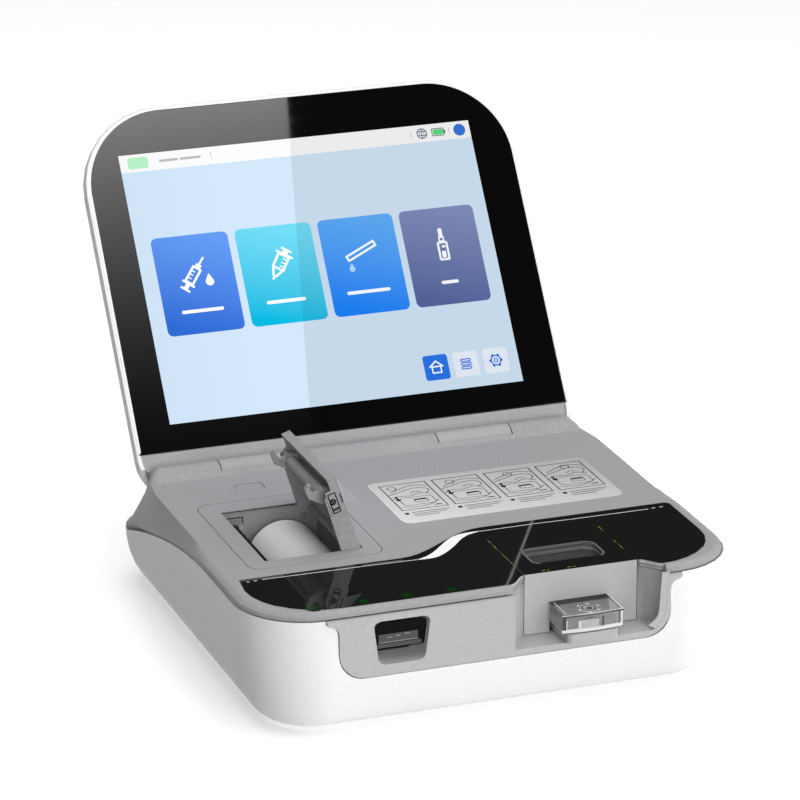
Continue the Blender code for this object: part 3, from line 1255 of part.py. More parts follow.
def inner_parts():
    spans = {"main_board": main_board_span(), "power_board": power_board_span()}
    for name, (left, right, front, back) in spans.items():
        low = FLOOR_Z + BOSS_HEIGHT + SEAT_GAP
        board = box(name, (left, depth(front), low), (right, depth(back), low + BOARD_THICK))
        middle_x, middle_y = (left + right) / 2, depth((front + back) / 2)
        chip = box(name + "_chip", (middle_x - 0.009, middle_y - 0.009, low + 0.001),
                   (middle_x + 0.009, middle_y + 0.009, low + BOARD_THICK + 0.0012))
        plug = box(name + "_plug", (left + 0.012, depth(front) + 0.003, low + 0.001),
                   (left + 0.030, depth(front) + 0.008, low + BOARD_THICK + 0.0016))
        join(board, chip, plug)
        finish(board, name, "board")
    _, right, _, board_back = main_board_span()
    near = depth(board_back + BATTERY_TO_BOARD)
    battery = box(
        "battery", (right - BATTERY_WIDTH, near, FLOOR_Z + SEAT_GAP), (right, near + BATTERY_LENGTH, BATTERY_TOP_Z),
        0.0020,
    )
    finish(battery, "battery_pack", "battery")
    x, y = SPEAKER_X, depth(SPEAKER_FROM_FRONT)
    speaker = rod("cone", "Z", SPEAKER_RADIUS, (x, y), FLOOR_Z + SEAT_GAP, FLOOR_Z + 0.0030, 24)
    join(speaker, rod("magnet", "Z", 0.0080, (x, y), FLOOR_Z + 0.0025, FLOOR_Z + 0.0070, 20))
    finish(speaker, "speaker", "dark_grey")


def rear_ports():
    """A recessed plate at the rear with its sockets behind it."""
    face = REAR_Y - PORTS_INSET
    outline = rounded_box(
        -PORTS_HALF + SEAT_GAP, PORTS_HALF - SEAT_GAP, PORTS_LOW_Z + SEAT_GAP, PORTS_TOP_Z - SEAT_GAP, 0.003, steps=3
    )
    plate = prism("port_plate", "Y", outline, face - PORTS_PLATE, face)
    middle = (PORTS_LOW_Z + PORTS_TOP_Z) / 2
    inner = face - PORTS_PLATE - SEAT_GAP
    sockets = (("usb_socket", -0.0220, 0.0066, 0.0030), ("network_socket", 0.0000, 0.0080, 0.0052))
    for name, x, half_width, half_height in sockets:
        hole = box(name + "_way", (x - half_width, face - 0.01, middle - half_height),
                   (x + half_width, face + 0.01, middle + half_height))
        cut(plate, hole)
        body = box(name, (x - half_width - 0.001, inner - 0.012, middle - half_height - 0.001),
                   (x + half_width + 0.001, inner, middle + half_height + 0.001))
        cut(body, box(name + "_mouth", (x - half_width + 0.0004, inner - 0.008, middle - half_height + 0.0004),
                      (x + half_width - 0.0004, inner + 0.01, middle + half_height - 0.0004)))
        if name == "usb_socket":
            join(body, box("usb_tongue", (x - half_width + 0.0016, inner - 0.0085, middle - 0.0002),
                           (x + half_width - 0.0016, inner - 0.0008, middle + 0.0012)))
        finish(body, name, "steel")
    x = 0.0200
    cut(plate, rod("power_way", "Y", 0.0040, (x, middle), face - 0.01, face + 0.01, 20))
    inlet = box("inlet", (x - 0.0052, inner - 0.0120, middle - 0.0052), (x + 0.0052, inner, middle + 0.0052))
    cut(inlet, rod("inlet_bore", "Y", 0.0032, (x, middle), inner - 0.009, inner + 0.01, 20))
    join(inlet, rod("inlet_pin", "Y", 0.0009, (x, middle), inner - 0.0095, inner - 0.0008, 10))
    finish(inlet, "power_inlet", "black_matte")
    button_x = 0.0330
    cut(plate, rod("button_way", "Y", 0.0036 + SEAT_GAP, (button_x, middle), face - 0.01, face + 0.01, 20))
    button = rod("button", "Y", 0.0036, (button_x, middle), inner - 0.0040, face + 0.0016, 20)
    join(button, rod("button_flange", "Y", 0.0046, (button_x, middle), inner - 0.0030, inner, 20))
    finish(button, "power_button", "dark_grey", (button_x, face, middle))
    finish(plate, "rear_port_plate", "dark_grey")


lower_housing()
upper_housing()
front_fascia()
control_panel()
lamp_strip()
instruction_label()
bay_cover()
cartridge_and_tray()
measuring_module()
scanner()
printer_frame()
paper_roll()
platen()
flap()
release_button()
lid(lid_frame())
hinge_pins()
base_fittings()
inner_parts()
rear_ports()
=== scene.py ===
import bmesh
import bpy
import json
import math
from mathutils import Euler, Matrix, Vector


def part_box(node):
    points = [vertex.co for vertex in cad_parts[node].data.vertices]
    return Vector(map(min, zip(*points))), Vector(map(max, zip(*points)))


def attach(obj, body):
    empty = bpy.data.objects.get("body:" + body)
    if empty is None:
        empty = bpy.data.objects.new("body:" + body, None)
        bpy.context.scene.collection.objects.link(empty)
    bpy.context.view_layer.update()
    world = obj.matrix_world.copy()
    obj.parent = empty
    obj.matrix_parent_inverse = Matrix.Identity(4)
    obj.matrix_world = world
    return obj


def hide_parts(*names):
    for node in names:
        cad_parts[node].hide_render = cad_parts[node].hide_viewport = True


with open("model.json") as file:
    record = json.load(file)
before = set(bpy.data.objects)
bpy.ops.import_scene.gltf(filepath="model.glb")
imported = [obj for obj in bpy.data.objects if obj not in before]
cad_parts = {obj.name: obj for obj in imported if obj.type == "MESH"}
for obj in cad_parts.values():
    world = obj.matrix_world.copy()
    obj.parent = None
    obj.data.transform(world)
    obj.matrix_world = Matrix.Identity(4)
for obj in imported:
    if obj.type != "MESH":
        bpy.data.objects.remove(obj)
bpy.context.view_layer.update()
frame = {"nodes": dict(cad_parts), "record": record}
mm = 0.001

# places read from the frame
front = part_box("lower_housing")[0].y
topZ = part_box("control_panel")[1].z
pinLow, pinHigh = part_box("hinge_pin_left")
hingeY, hingeZ = (pinLow.y + pinHigh.y) / 2, (pinLow.z + pinHigh.z) / 2

lidFacts = {"lean": 34.81, "glassBack": 3.1}
lidTurn = math.radians(90 - lidFacts["lean"])
lidPlace = Matrix.Translation((0, hingeY, hingeZ)) @ Matrix.Rotation(lidTurn, 4, "X")

# the screen and the print on the top are laid out from the screen's middle
screenShift = -1.0


# shader tools: a wire is a socket that can be used in sums

class Wire:
    def __init__(self, paint, socket):
        self.paint = paint
        self.socket = socket

    def sum(self, operation, a, b):
        return self.paint.node("Math", {"operation": operation}, {0: a, 1: b})

    def __add__(self, other):
        return self.sum("ADD", self, other)

    def __sub__(self, other):
        return self.sum("SUBTRACT", self, other)

    def __rsub__(self, other):
        return self.sum("SUBTRACT", other, self)

    def __mul__(self, other):
        return self.sum("MULTIPLY", self, other)

    def __truediv__(self, other):
        return self.sum("DIVIDE", self, other)

    def __pow__(self, other):
        return self.sum("POWER", self, other)

    __radd__ = __add__

    def clamp(self):
        made = self.sum("ADD", self, 0.0)
        made.socket.node.use_clamp = True
        return made


class Paint:
    def __init__(self, name, **constants):
        self.material = bpy.data.materials.new(name)
        self.material.use_nodes = True
        self.tree = self.material.node_tree
        self.shader = self.tree.nodes["Principled BSDF"]
        self.set(**constants)

    def set(self, **values):
        for key, value in values.items():
            words = "".join(" " + c if c.isupper() else c for c in key).strip()
            self.feed(self.shader.inputs[words[0].upper() + words[1:]], value)

    def feed(self, socket, value):
        if isinstance(value, Wire):
            self.tree.links.new(value.socket, socket)
        elif isinstance(value, (tuple, list)) and len(value) == 3 and socket.type == "RGBA":
            socket.default_value = (*value, 1)
        else:
            socket.default_value = value

    def node(self, kind, settings=None, inputs=None, output=0):
        made = self.tree.nodes.new("ShaderNode" + kind)
        for key, value in (settings or {}).items():
            setattr(made, key, value)
        for key, value in (inputs or {}).items():
            self.feed(made.inputs[key], value)
        return Wire(self, made.outputs[output])

    def spot(self):
        return self.node("TexCoord", output=3)

    def axes(self):
        split = self.node("SeparateXYZ", inputs={0: self.spot()})
        return [Wire(self, socket) for socket in split.socket.node.outputs]

    def noise(self, grain, detail=2.0, rough=0.5):
        inputs = {"Vector": self.spot(), "Scale": 1 / grain, "Detail": detail, "Roughness": rough}
        return self.node("TexNoise", inputs=inputs)

    def scaled(self, colour, factor):
        return self.node("VectorMath", {"operation": "SCALE"}, {0: colour, "Scale": factor})

    def mix(self, share, a, b):
        return self.node("Mix", {"data_type": "RGBA"}, {0: share, 6: a, 7: b}, output=2)

    def bump(self, height, strength, depth):
        return self.node("Bump", inputs={"Height": height, "Strength": strength, "Distance": depth})


def tone(colour, factor):
    return tuple(c * factor for c in colour)


# grain, dust and streaks of all finishes, with their sizes in millimetres
surfaceFacts = {
    "fineShare": 3.6, "broadShare": 0.4, "broadSize": 30, "roughShare": 0.25, "grainBump": 0.5,
    "dustSize": 6, "dustLevel": 0.4, "dustShare": 0.04, "drawn": 2 / 3, "drawnShare": 0.2,
    "rubberGrain": 0.5, "rubberBump": 0.4, "rubberDepth": 0.03, "inkPatch": 3, "inkShade": 0.06,
    "streak": 4, "streakShare": 0.15,
}


def moulded(name, colour, roughness, grain, depth, speckle):
    facts = surfaceFacts
    paint = Paint(name)
    fine = paint.noise(grain * mm, 3, 0.6)
    broad = paint.noise(facts["broadSize"] * mm, 2)
    share = (fine - 0.5) * facts["fineShare"] + (broad - 0.5) * facts["broadShare"] + 0.5
    paint.set(BaseColor=paint.mix(share.clamp(), tone(colour, 1 - speckle), tone(colour, 1 + speckle)))
    paint.set(Roughness=(fine - 0.5) * facts["roughShare"] + roughness)
    paint.set(Normal=paint.bump(fine, facts["grainBump"], depth * mm))
    return paint.material


def polished(name, colour, roughness, specular=0.5):
    facts = surfaceFacts
    paint = Paint(name, BaseColor=colour)
    dust = paint.noise(facts["dustSize"] * mm, 4)
    paint.set(Roughness=(dust - facts["dustLevel"]) * facts["dustShare"] + roughness)
    paint.feed(paint.shader.inputs["Specular IOR Level"], specular)
    return paint.material


def metal(name, colour, roughness):
    paint = Paint(name, BaseColor=colour, Metallic=1)
    lines = paint.noise(surfaceFacts["drawn"] * mm, 2)
    paint.set(Roughness=(lines - 0.5) * surfaceFacts["drawnShare"] + roughness)
    return paint.material


def rubbery(name, colour):
    facts = surfaceFacts
    paint = Paint(name, BaseColor=colour, Roughness=0.8)
    grain = paint.noise(facts["rubberGrain"] * mm)
    paint.set(Normal=paint.bump(grain, facts["rubberBump"], facts["rubberDepth"] * mm))
    return paint.material


# a moulding: colour, roughness, grain size and depth in millimetres, speckle; a gloss surface:
# colour, roughness, specular level
finishes = {
    "white": moulded("white_moulding", (0.875, 0.88, 0.885), 0.5, 0.6, 0.02, 0.05),
    "grey": moulded("grey_moulding", (0.343, 0.346, 0.354), 0.55, 0.85, 0.03, 0.1),
    "pale": moulded("fascia_moulding", (0.465, 0.468, 0.476), 0.55, 0.6, 0.03, 0.07),
    # painted shade: a darker grey for the bay's side wall, also used for the scanner's marks
    "wall": moulded("bay_wall_painted_shade_grey", (0.3, 0.302, 0.308), 0.55, 0.6, 0.03, 0.07),
    "rim": moulded("bay_rim_moulding", (0.62, 0.625, 0.63), 0.55, 0.6, 0.03, 0.06),
    "scannerGlass": polished("scanner_gloss", (0.003, 0.003, 0.003), 0.1, 0.06),
    "optics": moulded("scanner_optics_grey", (0.05, 0.05, 0.052), 0.35, 0.6, 0.01, 0.1),
    # painted shade: dark greys for the scoop's floor and walls, the floor darker; the wall grey also paints
    # the lighter band round the scoop
    "scoopFloor": polished("scoop_floor_painted_shade", (0.05, 0.05, 0.052), 0.12),
    "scoopWall": polished("scoop_wall_painted_light_and_shade", (0.15, 0.15, 0.153), 0.15),
    # painted light: the housing grey made lighter for the lid's bezel
    "bezel": moulded("bezel_lit_grey", (0.385, 0.388, 0.396), 0.55, 0.6, 0.03, 0.085),
    "inner": moulded("bucket_moulding", (0.27, 0.272, 0.28), 0.6, 0.45, 0.03, 0.05),
    "dark": moulded("dark_moulding", (0.045, 0.045, 0.05), 0.55, 0.4, 0.02, 0.05),
    "black": moulded("black_moulding", (0.012, 0.012, 0.013), 0.45, 0.4, 0.02, 0.05),
    "panel": polished("panel_gloss", (0.0118, 0.0118, 0.0118), 0.03),
    "glass": polished("lid_glass", (0.0031, 0.0031, 0.0031), 0.02),
    "steel": metal("pin_steel", (0.6, 0.61, 0.62), 0.32),
    "rubber": rubbery("rubber_black", (0.02, 0.02, 0.02)),
    "paper": moulded("roll_paper", (0.75, 0.75, 0.745), 0.85, 0.3, 0.01, 0.02),
    "board": moulded("board_green", (0.03, 0.16, 0.08), 0.45, 0.6, 0.01, 0.1),
    "cell": polished("battery_film", (0.05, 0.09, 0.2), 0.3),
}
print("materials ready")


def surface(finish):
    # a finish by its name, or a material made for one piece
    return finishes.get(finish, finish)


# mesh tools

def linked(name, data):
    made = bpy.data.objects.new(name, data)
    bpy.context.scene.collection.objects.link(made)
    return made


def toScene(name, bm):
    mesh = bpy.data.meshes.new(name)
    bm.to_mesh(mesh)
    bm.free()
    return linked(name, mesh)


edgeFacts = {"segments": 2, "angle": 40, "merge": 0.002, "flat": 0.3}


def finishPiece(name, bm, material, body, stands=(), smooth=None, rounding=0, place=None):
    # smooth is an angle in degrees, rounding a width in millimetres
    if place is not None:
        bm.transform(place)
    bmesh.ops.recalc_face_normals(bm, faces=bm.faces[:])
    piece = toScene(name, bm)
    piece.data.materials.append(surface(material))
    if rounding:
        bevel = piece.modifiers.new("soft_edges", "BEVEL")
        bevel.width = rounding * mm
        bevel.segments = edgeFacts["segments"]
        bevel.limit_method = "ANGLE"
        bevel.angle_limit = math.radians(edgeFacts["angle"])
    if smooth is not None:
        piece.data.shade_smooth()
        piece.data.set_sharp_from_angle(angle=math.radians(smooth))
    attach(piece, body)
    if stands:
        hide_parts(*stands)
    return piece


def grid(steps=1, size=0.5):
    bm = bmesh.new()
    bmesh.ops.create_grid(bm, x_segments=steps, y_segments=1, size=size)
    return bm


def flatShape(width, height, corner=0, segments=6, upperOnly=False):
    bm = grid()
    bmesh.ops.scale(bm, vec=(width * mm, height * mm, 1), verts=bm.verts)
    rounded = [v for v in bm.verts if v.co.y > 0 or not upperOnly]
    if corner:
        bmesh.ops.bevel(bm, geom=rounded, offset=corner * mm, affect="VERTICES", segments=segments,
                        profile=0.5, material=-1)
    return bm


def raised(bm, rise):
    grown = bmesh.ops.extrude_face_region(bm, geom=bm.faces[:])
    lifted = [v for v in grown["geom"] if isinstance(v, bmesh.types.BMVert)]
    bmesh.ops.translate(bm, vec=(0, 0, rise * mm), verts=lifted)
    return bm


def plate(width, height, corner=0, thick=0.05, segments=6):
    return raised(flatShape(width, height, corner, segments), thick)


def thicken(bm, thick):
    bmesh.ops.solidify(bm, geom=bm.faces[:], thickness=thick * mm)
    return bm


def inside(bm, line):
    # the faces left within a rim as wide as the line
    inset = bmesh.ops.inset_region(bm, faces=bm.faces[:], thickness=line * mm, use_boundary=True)
    return [f for f in bm.faces if f not in inset["faces"]]


def rimOnly(bm, line, thick):
    bmesh.ops.delete(bm, geom=inside(bm, line), context="FACES")
    return thicken(bm, thick)


def outline(width, height, corner, line, thick=0.02):
    return rimOnly(flatShape(width, height, corner, 4), line, thick)


def ring(outer, inner, thick=0.02):
    bm = bmesh.new()
    bmesh.ops.create_circle(bm, cap_ends=True, radius=outer * mm, segments=32)
    return rimOnly(bm, outer - inner, thick)


def disc(radius, thick=0.02):
    bm = bmesh.new()
    bmesh.ops.create_cone(bm, cap_ends=True, segments=28, radius1=radius * mm, radius2=radius * mm,
                          depth=thick * mm)
    return bm


dropFacts = {"stretch": 0.9, "waist": 0.55}


def drop(size, thick=0.02):
    bm = bmesh.new()
    bmesh.ops.create_circle(bm, cap_ends=True, radius=size * mm, segments=28)
    for vert in bm.verts:
        if vert.co.y > 0:
            rise = vert.co.y / (size * mm)
            vert.co.y *= 1 + dropFacts["stretch"] * rise ** 2
            vert.co.x *= 1 - dropFacts["waist"] * rise ** 2
    return thicken(bm, thick)


def gather(target, bm, place=Matrix()):
    bm.transform(place)
    held = bpy.data.meshes.new("held")
    bm.to_mesh(held)
    bm.free()
    target.from_mesh(held)
    bpy.data.meshes.remove(held)
    return target


def at(x, y, z=0, turn=0):
    return Matrix.Translation((x * mm, y * mm, z * mm)) @ Matrix.Rotation(math.radians(turn), 4, "Z")


standUp = Matrix.Rotation(math.radians(90), 4, "X")


def inFrame(x, depthBehind, z):
    return Matrix.Translation((x * mm, front + depthBehind * mm, z * mm))


def upright(x, depthBehind, z):
    # a plate laid out flat stands up facing the front
    return inFrame(x, depthBehind, z) @ standUp


shapes = {"plate": plate, "outline": outline, "ring": ring, "disc": disc, "drop": drop}


def build(rows, thick=0.02, way=at):
    # one mesh from rows of a shape, its sizes, its place and, if it has its own, its thickness;
    # a row that names no shape is a plate
    bm = bmesh.new()
    for row in rows:
        kind, sizes, spot, *own = row if row[0] in shapes else ("plate", *row)
        gather(bm, shapes[kind](*sizes, thick=own[0] if own else thick), way(*spot))
    return bm


def around(count, radius, start=0):
    # places spread evenly round a circle, each turned outwards
    turns = [start + 360 / count * i for i in range(count)]
    return [(radius * math.cos(math.radians(t)), radius * math.sin(math.radians(t)), 0, t) for t in turns]


def dressed(node, material, smooth=30):
    source = frame["nodes"][node]
    bm = bmesh.new()
    bm.from_mesh(source.data)
    bm.transform(source.matrix_world)
    bmesh.ops.remove_doubles(bm, verts=bm.verts[:], dist=edgeFacts["merge"] * mm)
    flat = math.radians(edgeFacts["flat"])
    bmesh.ops.dissolve_limit(bm, angle_limit=flat, verts=bm.verts[:], edges=bm.edges[:])
    piece = finishPiece(node + "_shape", bm, material, homeOf(node), (node,), smooth)
    even = piece.modifiers.new("even_shading", "WEIGHTED_NORMAL")
    even.keep_sharp = True
    return piece


def homeOf(node):
    bodies = frame["record"]["behaviour"]["bodies"]
    return next(body for body, nodes in bodies.items() if node in nodes)


def recoat(material, *nodes):
    for node in nodes:
        piece = frame["nodes"][node]
        piece.data.materials.clear()
        piece.data.materials.append(surface(material))


# housing

# painted shade: the white housing's upward faces along the seam under the grey housing get the darker
# bucket grey
seamShadeFacts = {"slope": 0.4, "height": 20, "depth": 12, "side": 60}


def repaint(piece, material, wanted):
    # a second finish for the faces that the test picks by place and direction
    piece.data.materials.append(surface(material))
    slot = len(piece.data.materials) - 1
    for face in piece.data.polygons:
        x, y, z = face.center
        if wanted(x / mm, (y - front) / mm, z / mm, face.normal):
            face.material_index = slot


cornerFacts = {"start": 160, "end": 172, "low": 24, "high": 44, "keep": 84, "share": 0.74}


def drawInCorners(piece, facts):
    # the ridge and the plate end further in at the rear, clear of the lid's corners
    for vert in piece.data.vertices:
        depth, side, height = (vert.co.y - front) / mm, abs(vert.co.x) / mm, vert.co.z / mm
        if height < facts["low"] or depth < facts["start"] or side < facts["keep"]:
            continue
        ease = min(1, (depth - facts["start"]) / (facts["end"] - facts["start"]))
        ease *= min(1, (height - facts["low"]) / (facts["high"] - facts["low"]))
        inward = (side - facts["keep"]) * (1 - facts["share"]) * ease
        vert.co.x -= math.copysign(inward * mm, vert.co.x)


baySettings = {
    "scoop": (36, 30.25), "scoopSize": (32.4, 17.7), "scoopCorner": 4.6, "scoopRim": 0.9,
    "scoopTop": 46.5, "wallFrom": 60.5, "wallTo": 75, "wallDepth": (0.3, 14.9), "skirtDepth": 15,
    "brow": (48.8, 2), "browPlace": (36.7, 12.66, 51.6), "rimThick": 0.6, "rimDepth": 0.3,
    "rimSteps": 10, "wallTurn": -0.3, "sideTurn": 0.5, "wellTurn": -0.1, "floorTurn": 0.6,
    "rimOuter": ((70.2, 50.7), (70.2, 38.5), (69.9, 33), (68.1, 30), (64.5, 26.9)),
    "rimInner": ((67, 50.8), (66.3, 38.9), (65.8, 33.1), (64.4, 30.7), (61.5, 28.5)),
}


def seamShadeFaces(x, y, z, normal):
    facts = seamShadeFacts
    high = normal.z > facts["slope"] and z > facts["height"]
    return high and (y > facts["depth"] or abs(x) > facts["side"])


# the bay's side wall faces that get the painted shade
def bayWallShadeFaces(x, y, z, normal):
    facts = baySettings
    near, far = facts["wallDepth"]
    return facts["wallFrom"] < x < facts["wallTo"] and near < y < far and normal.x < facts["wallTurn"]


def inScoop(x, y):
    (midX, midY), (width, depth) = baySettings["scoop"], baySettings["scoopSize"]
    return abs(x - midX) < width / 2 and abs(y - midY) < depth / 2


def onWell(turn):
    return lambda x, y, z, normal: inScoop(x, y) and z > baySettings["scoopTop"] and normal.z > turn


def onSide(normal):
    return normal.z < baySettings["sideTurn"]


repaint(dressed("lower_housing", "white", 40), "inner", seamShadeFaces)
drawInCorners(dressed("upper_housing", "grey", 24), cornerFacts)
repaint(dressed("front_fascia", "pale", 35), "wall", bayWallShadeFaces)
panel = dressed("control_panel", "panel")
repaint(panel, "pale", lambda x, y, z, normal: onSide(normal) and y < baySettings["skirtDepth"])
cover = dressed("bay_cover", "pale", 35)
# painted shade: the scoop in the cover gets dark greys, its floor darker than its walls
repaint(cover, "scoopWall", onWell(baySettings["wellTurn"]))
repaint(cover, "scoopFloor", onWell(baySettings["floorTurn"]))
film = dressed("bay_cover_film", "panel")
repaint(film, "pale", lambda x, y, z, normal: onSide(normal) and not inScoop(x, y))
# the film's sides inside the scoop get the same painted-shade wall grey
repaint(film, "scoopWall", lambda x, y, z, normal: onSide(normal) and inScoop(x, y))
print("housing ready")


# lid: shell, bezel, glass and the picture on the screen

lidSettings = {
    "glassHalf": 97.9, "glassStart": 13.6, "glassEnd": 166.4, "glassCorner": 36.6, "glassThick": 1.1,
    "glassEdge": 0.25, "arcSteps": 28,
    "rim": 0.85, "rimGrow": 0.45, "rimShift": 0.4, "rimThick": 0.04, "rimLift": 0.05,
}

dressed("lid_back_shell", "white", 40)
dressed("lid_front_bezel", "bezel")


def archedSheet(facts, grow):
    # the glass's outline with two round upper corners, and its middle's height on the lid
    width, height = 2 * (facts["glassHalf"] + grow), facts["glassEnd"] - facts["glassStart"] + grow
    bm = flatShape(width, height, facts["glassCorner"] + grow, facts["arcSteps"], True)
    return bm, (facts["glassStart"] + facts["glassEnd"] + grow) / 2


def makeGlass(facts):
    bm, middle = archedSheet(facts, 0)
    raised(bm, -facts["glassThick"])
    place = lidPlace @ at(0, middle, -lidFacts["glassBack"])
    finishPiece("lid_glass", bm, "glass", "lid", ("touch_glass",), 30, facts["glassEdge"], place)


def makeLidRim(facts):
    # the shell's white lip round the glass, open at the foot
    bm, middle = archedSheet(facts, facts["rimGrow"])
    inner = inside(bm, facts["rim"])
    shift = facts["rimShift"] * mm
    bmesh.ops.translate(bm, vec=(shift, shift, 0), verts=inner[0].verts[:])
    footTop = min(v.co.y for v in bm.verts) + facts["rim"] * mm + shift
    foot = [f for f in bm.faces if f.calc_center_median().y < footTop]
    bmesh.ops.delete(bm, geom=list(set(inner + foot)), context="FACES")
    thicken(bm, facts["rimThick"])
    place = lidPlace @ at(0, middle, facts["rimLift"] - lidFacts["glassBack"])
    finishPiece("lid_rim", bm, "white", "lid", (), 30, 0, place)


makeGlass(lidSettings)
makeLidRim(lidSettings)

# the picture, in screen millimetres; a sign's shapes start at the middle of its card or button
screenFacts = {
    "width": 162.56, "height": 121.92, "start": 25.3, "lift": 0.03, "barHeight": 8,
    "cardWidth": 34.9, "cardHeight": 44.6, "cardCorner": 2.6, "cardSweep": 0.006,
    "cardLefts": (6.9, 45, 83.1, 121.1), "cardLow": 38.5, "signLevel": 0.615,
    "cardLines": (19, 18, 20, 8), "cardLine": (1.5, 0.7), "cardLineLevel": 10.2,
    "buttonSize": 11.4, "buttonCorner": 1.3, "buttonCentres": (124.1, 138, 152), "buttonLevel": 10.8,
    "cards": (
        ("card_blue", (0.026, 0.13, 0.59), (0.112, 0.29, 0.8)),
        ("card_cyan", (0.002, 0.43, 0.67), (0.15, 0.63, 0.81)),
        ("card_azure", (0.01, 0.2, 0.847), (0.105, 0.375, 0.847)),
        ("card_slate", (0.084, 0.122, 0.315), (0.2, 0.245, 0.45)),
    ),
    # a colour, or two that run from the foot of the screen to its top
    "colours": {
        "screen_blue": ((0.565, 0.694, 0.831),), "screen_bar_pale": ((0.84, 0.84, 0.84),),
        "chip_green": ((0.42, 0.78, 0.5),), "note_grey": ((0.42, 0.44, 0.48),),
        "sign_grey": ((0.1, 0.13, 0.2),), "cell_green": ((0.06, 0.5, 0.12), (0.1, 0.62, 0.18)),
        "badge_blue": ((0.035, 0.16, 0.62),), "sign_white": ((0.9, 0.93, 0.97),),
        "sign_sky": ((0.42, 0.66, 0.92),), "button_blue": ((0.02, 0.16, 0.72),),
        "button_pale": ((0.72, 0.78, 0.87), (0.78, 0.83, 0.9)),
    },
    # piece, colour, place along the bar, shapes
    "status": (
        ("screen_chip", "chip_green", 8.2, [((9.2, 5.2, 1), (0, 0))]),
        ("screen_note", "note_grey", 0, [
            ((8.6, 1.1, 0.4), (22.1, 0)), ((9.6, 1.1, 0.4), (32, 0)),
            *(((0.25, 3.4), (left, 0)) for left in (41.6, 134.6, 152.6))]),
        ("screen_globe", "sign_grey", 139.8, [
            ("ring", (2.45, 1.95), (0, 0)), ((4.4, 0.4), (0, 0.9)), ((4.4, 0.4), (0, -0.9)),
            ((0.4, 4.6), (0, 0, 0.03)), ("ring", (1.25, 1), (0, 0))]),
        ("screen_battery_case", "sign_grey", 147.4, [
            ("outline", (6, 3.7, 0.6, 0.4), (0, 0)), ((0.6, 1.5), (3.2, 0))]),
        ("screen_battery", "cell_green", 147.5, [((4.8, 2.5, 0.3), (0, 0))]),
        ("screen_badge", "badge_blue", 157.6, [("disc", (2.8,), (0, 0))]),
    ),
    # piece, colour, card, shift, rise, turn, shapes: two syringes, a thin tube and a small bottle
    "signs": (
        ("sign_syringe", "sign_white", 0, -1.4, -1.2, -38, [
            ("outline", (4.6, 8.6, 0.4, 1), (0, 0)), ((2.6, 1.8, 0.3), (0, 5)), ((0.9, 4.4), (0, 7.6)),
            ((6.2, 1, 0.3), (0, -4.4)), ((1.9, 2.6), (0, -5.8)), ((4.8, 1, 0.3), (0, -7.4)),
            *(((1.4, 0.55), (-0.6, rise)) for rise in (-1.8, 0, 1.8))]),
        ("sign_bead", "sign_white", 0, 0, 0, 0, [("drop", (1.9,), (5.6, -4.6))]),
        ("sign_barrel", "sign_white", 1, 0.4, -0.4, -34, [
            ("outline", (6, 7.6, 0.5, 1), (0, 1)), ((1, 4.2), (-1.4, -4.4, 0, 24)),
            ((1, 4.2), (1.4, -4.4, 0, -24)), ((1, 2.4), (0, -6.8)), ((8.2, 1, 0.3), (0, 4.9)),
            ((2.4, 1.6), (0, 6)), ((5, 1, 0.3), (0, 7.2)),
            *(((1.7, 0.55), (1, rise)) for rise in (-0.8, 1, 2.8))]),
        ("sign_straw", "sign_white", 2, 0, 0, 24, [("outline", (15.6, 3.1, 0.3, 0.95), (0.6, 1.2))]),
        ("sign_straw_bead", "sign_sky", 2, 0, 0, 0, [("drop", (1.35,), (-5.4, -6.4))]),
        ("sign_vial", "sign_white", 3, 0, 0, 0, [
            ("outline", (5, 8.8, 0.9, 0.95), (0, -2.8)), ("outline", (2.6, 2.6, 0.4, 0.7), (0, 2.6)),
            ((1.9, 4.2, 0.8), (0, 5.6)), ((1.6, 1), (0.4, -0.8)), ((1.9, 3), (0, -4.4))]),
    ),
    "buttonSigns": (
        ("sign_home", "sign_white", [
            ("outline", (4.6, 3.4, 0.2, 0.6), (0, -1)), ((4.4, 0.65), (-1.5, 1.6, 0, 40)),
            ((4.4, 0.65), (1.5, 1.6, 0, -40))]),
        ("sign_stack", "button_blue", [
            ("outline", (5, 1.5, 0.7, 0.5), (0, step)) for step in (-1.7, 0, 1.7)]),
        ("sign_gear", "button_blue", [
            ("ring", (2.5, 1.9), (0, 0)), ("ring", (1.1, 0.6), (0, 0)),
            *(((0.8, 1.2), spot) for spot in around(6, 2.7))]),
    ),
}


# painted reflection: left of a slanting line through these two points the screen's colours are made
# brighter, where the bright card shows mirrored in the glass
screenReflectionFacts = {
    "low": (63.4, 0.1), "high": (81.3, 141.2), "gain": 0.17, "soft": 0.4, "dimEdge": 0.05, "dimWidth": 45,
}


def glow(name, low, high=None, lowAt=0, highAt=121.9, middle=0, sweep=0):
    paint = Paint(name, BaseColor=(0, 0, 0), Roughness=1, EmissionStrength=1)
    paint.feed(paint.shader.inputs["Specular IOR Level"], 0)
    x, y, z = paint.axes()
    along = (y - hingeY) * math.cos(lidTurn) + (z - hingeZ) * math.sin(lidTurn)
    v = along / mm - screenFacts["start"]
    u = x / mm + screenFacts["width"] / 2 - screenShift
    level = (v - lowAt) / (highAt - lowAt)
    if sweep:
        level = level + (u - middle) * sweep
    fade = paint.mix(level.clamp(), low, high or low)
    # painted reflection: colours left of the slanting line are brightened, a little less near the screen's
    # left edge
    (lowU, lowV), (highU, highV) = screenReflectionFacts["low"], screenReflectionFacts["high"]
    edge = (v - lowV) * ((highU - lowU) / (highV - lowV)) + lowU
    lit = ((edge - u) / screenReflectionFacts["soft"]).clamp()
    dim = (1 - u / screenReflectionFacts["dimWidth"]).clamp() * screenReflectionFacts["dimEdge"]
    gain = 1 + lit * (screenReflectionFacts["gain"] - dim)
    paint.set(EmissionColor=paint.scaled(fade, gain))
    return paint.material


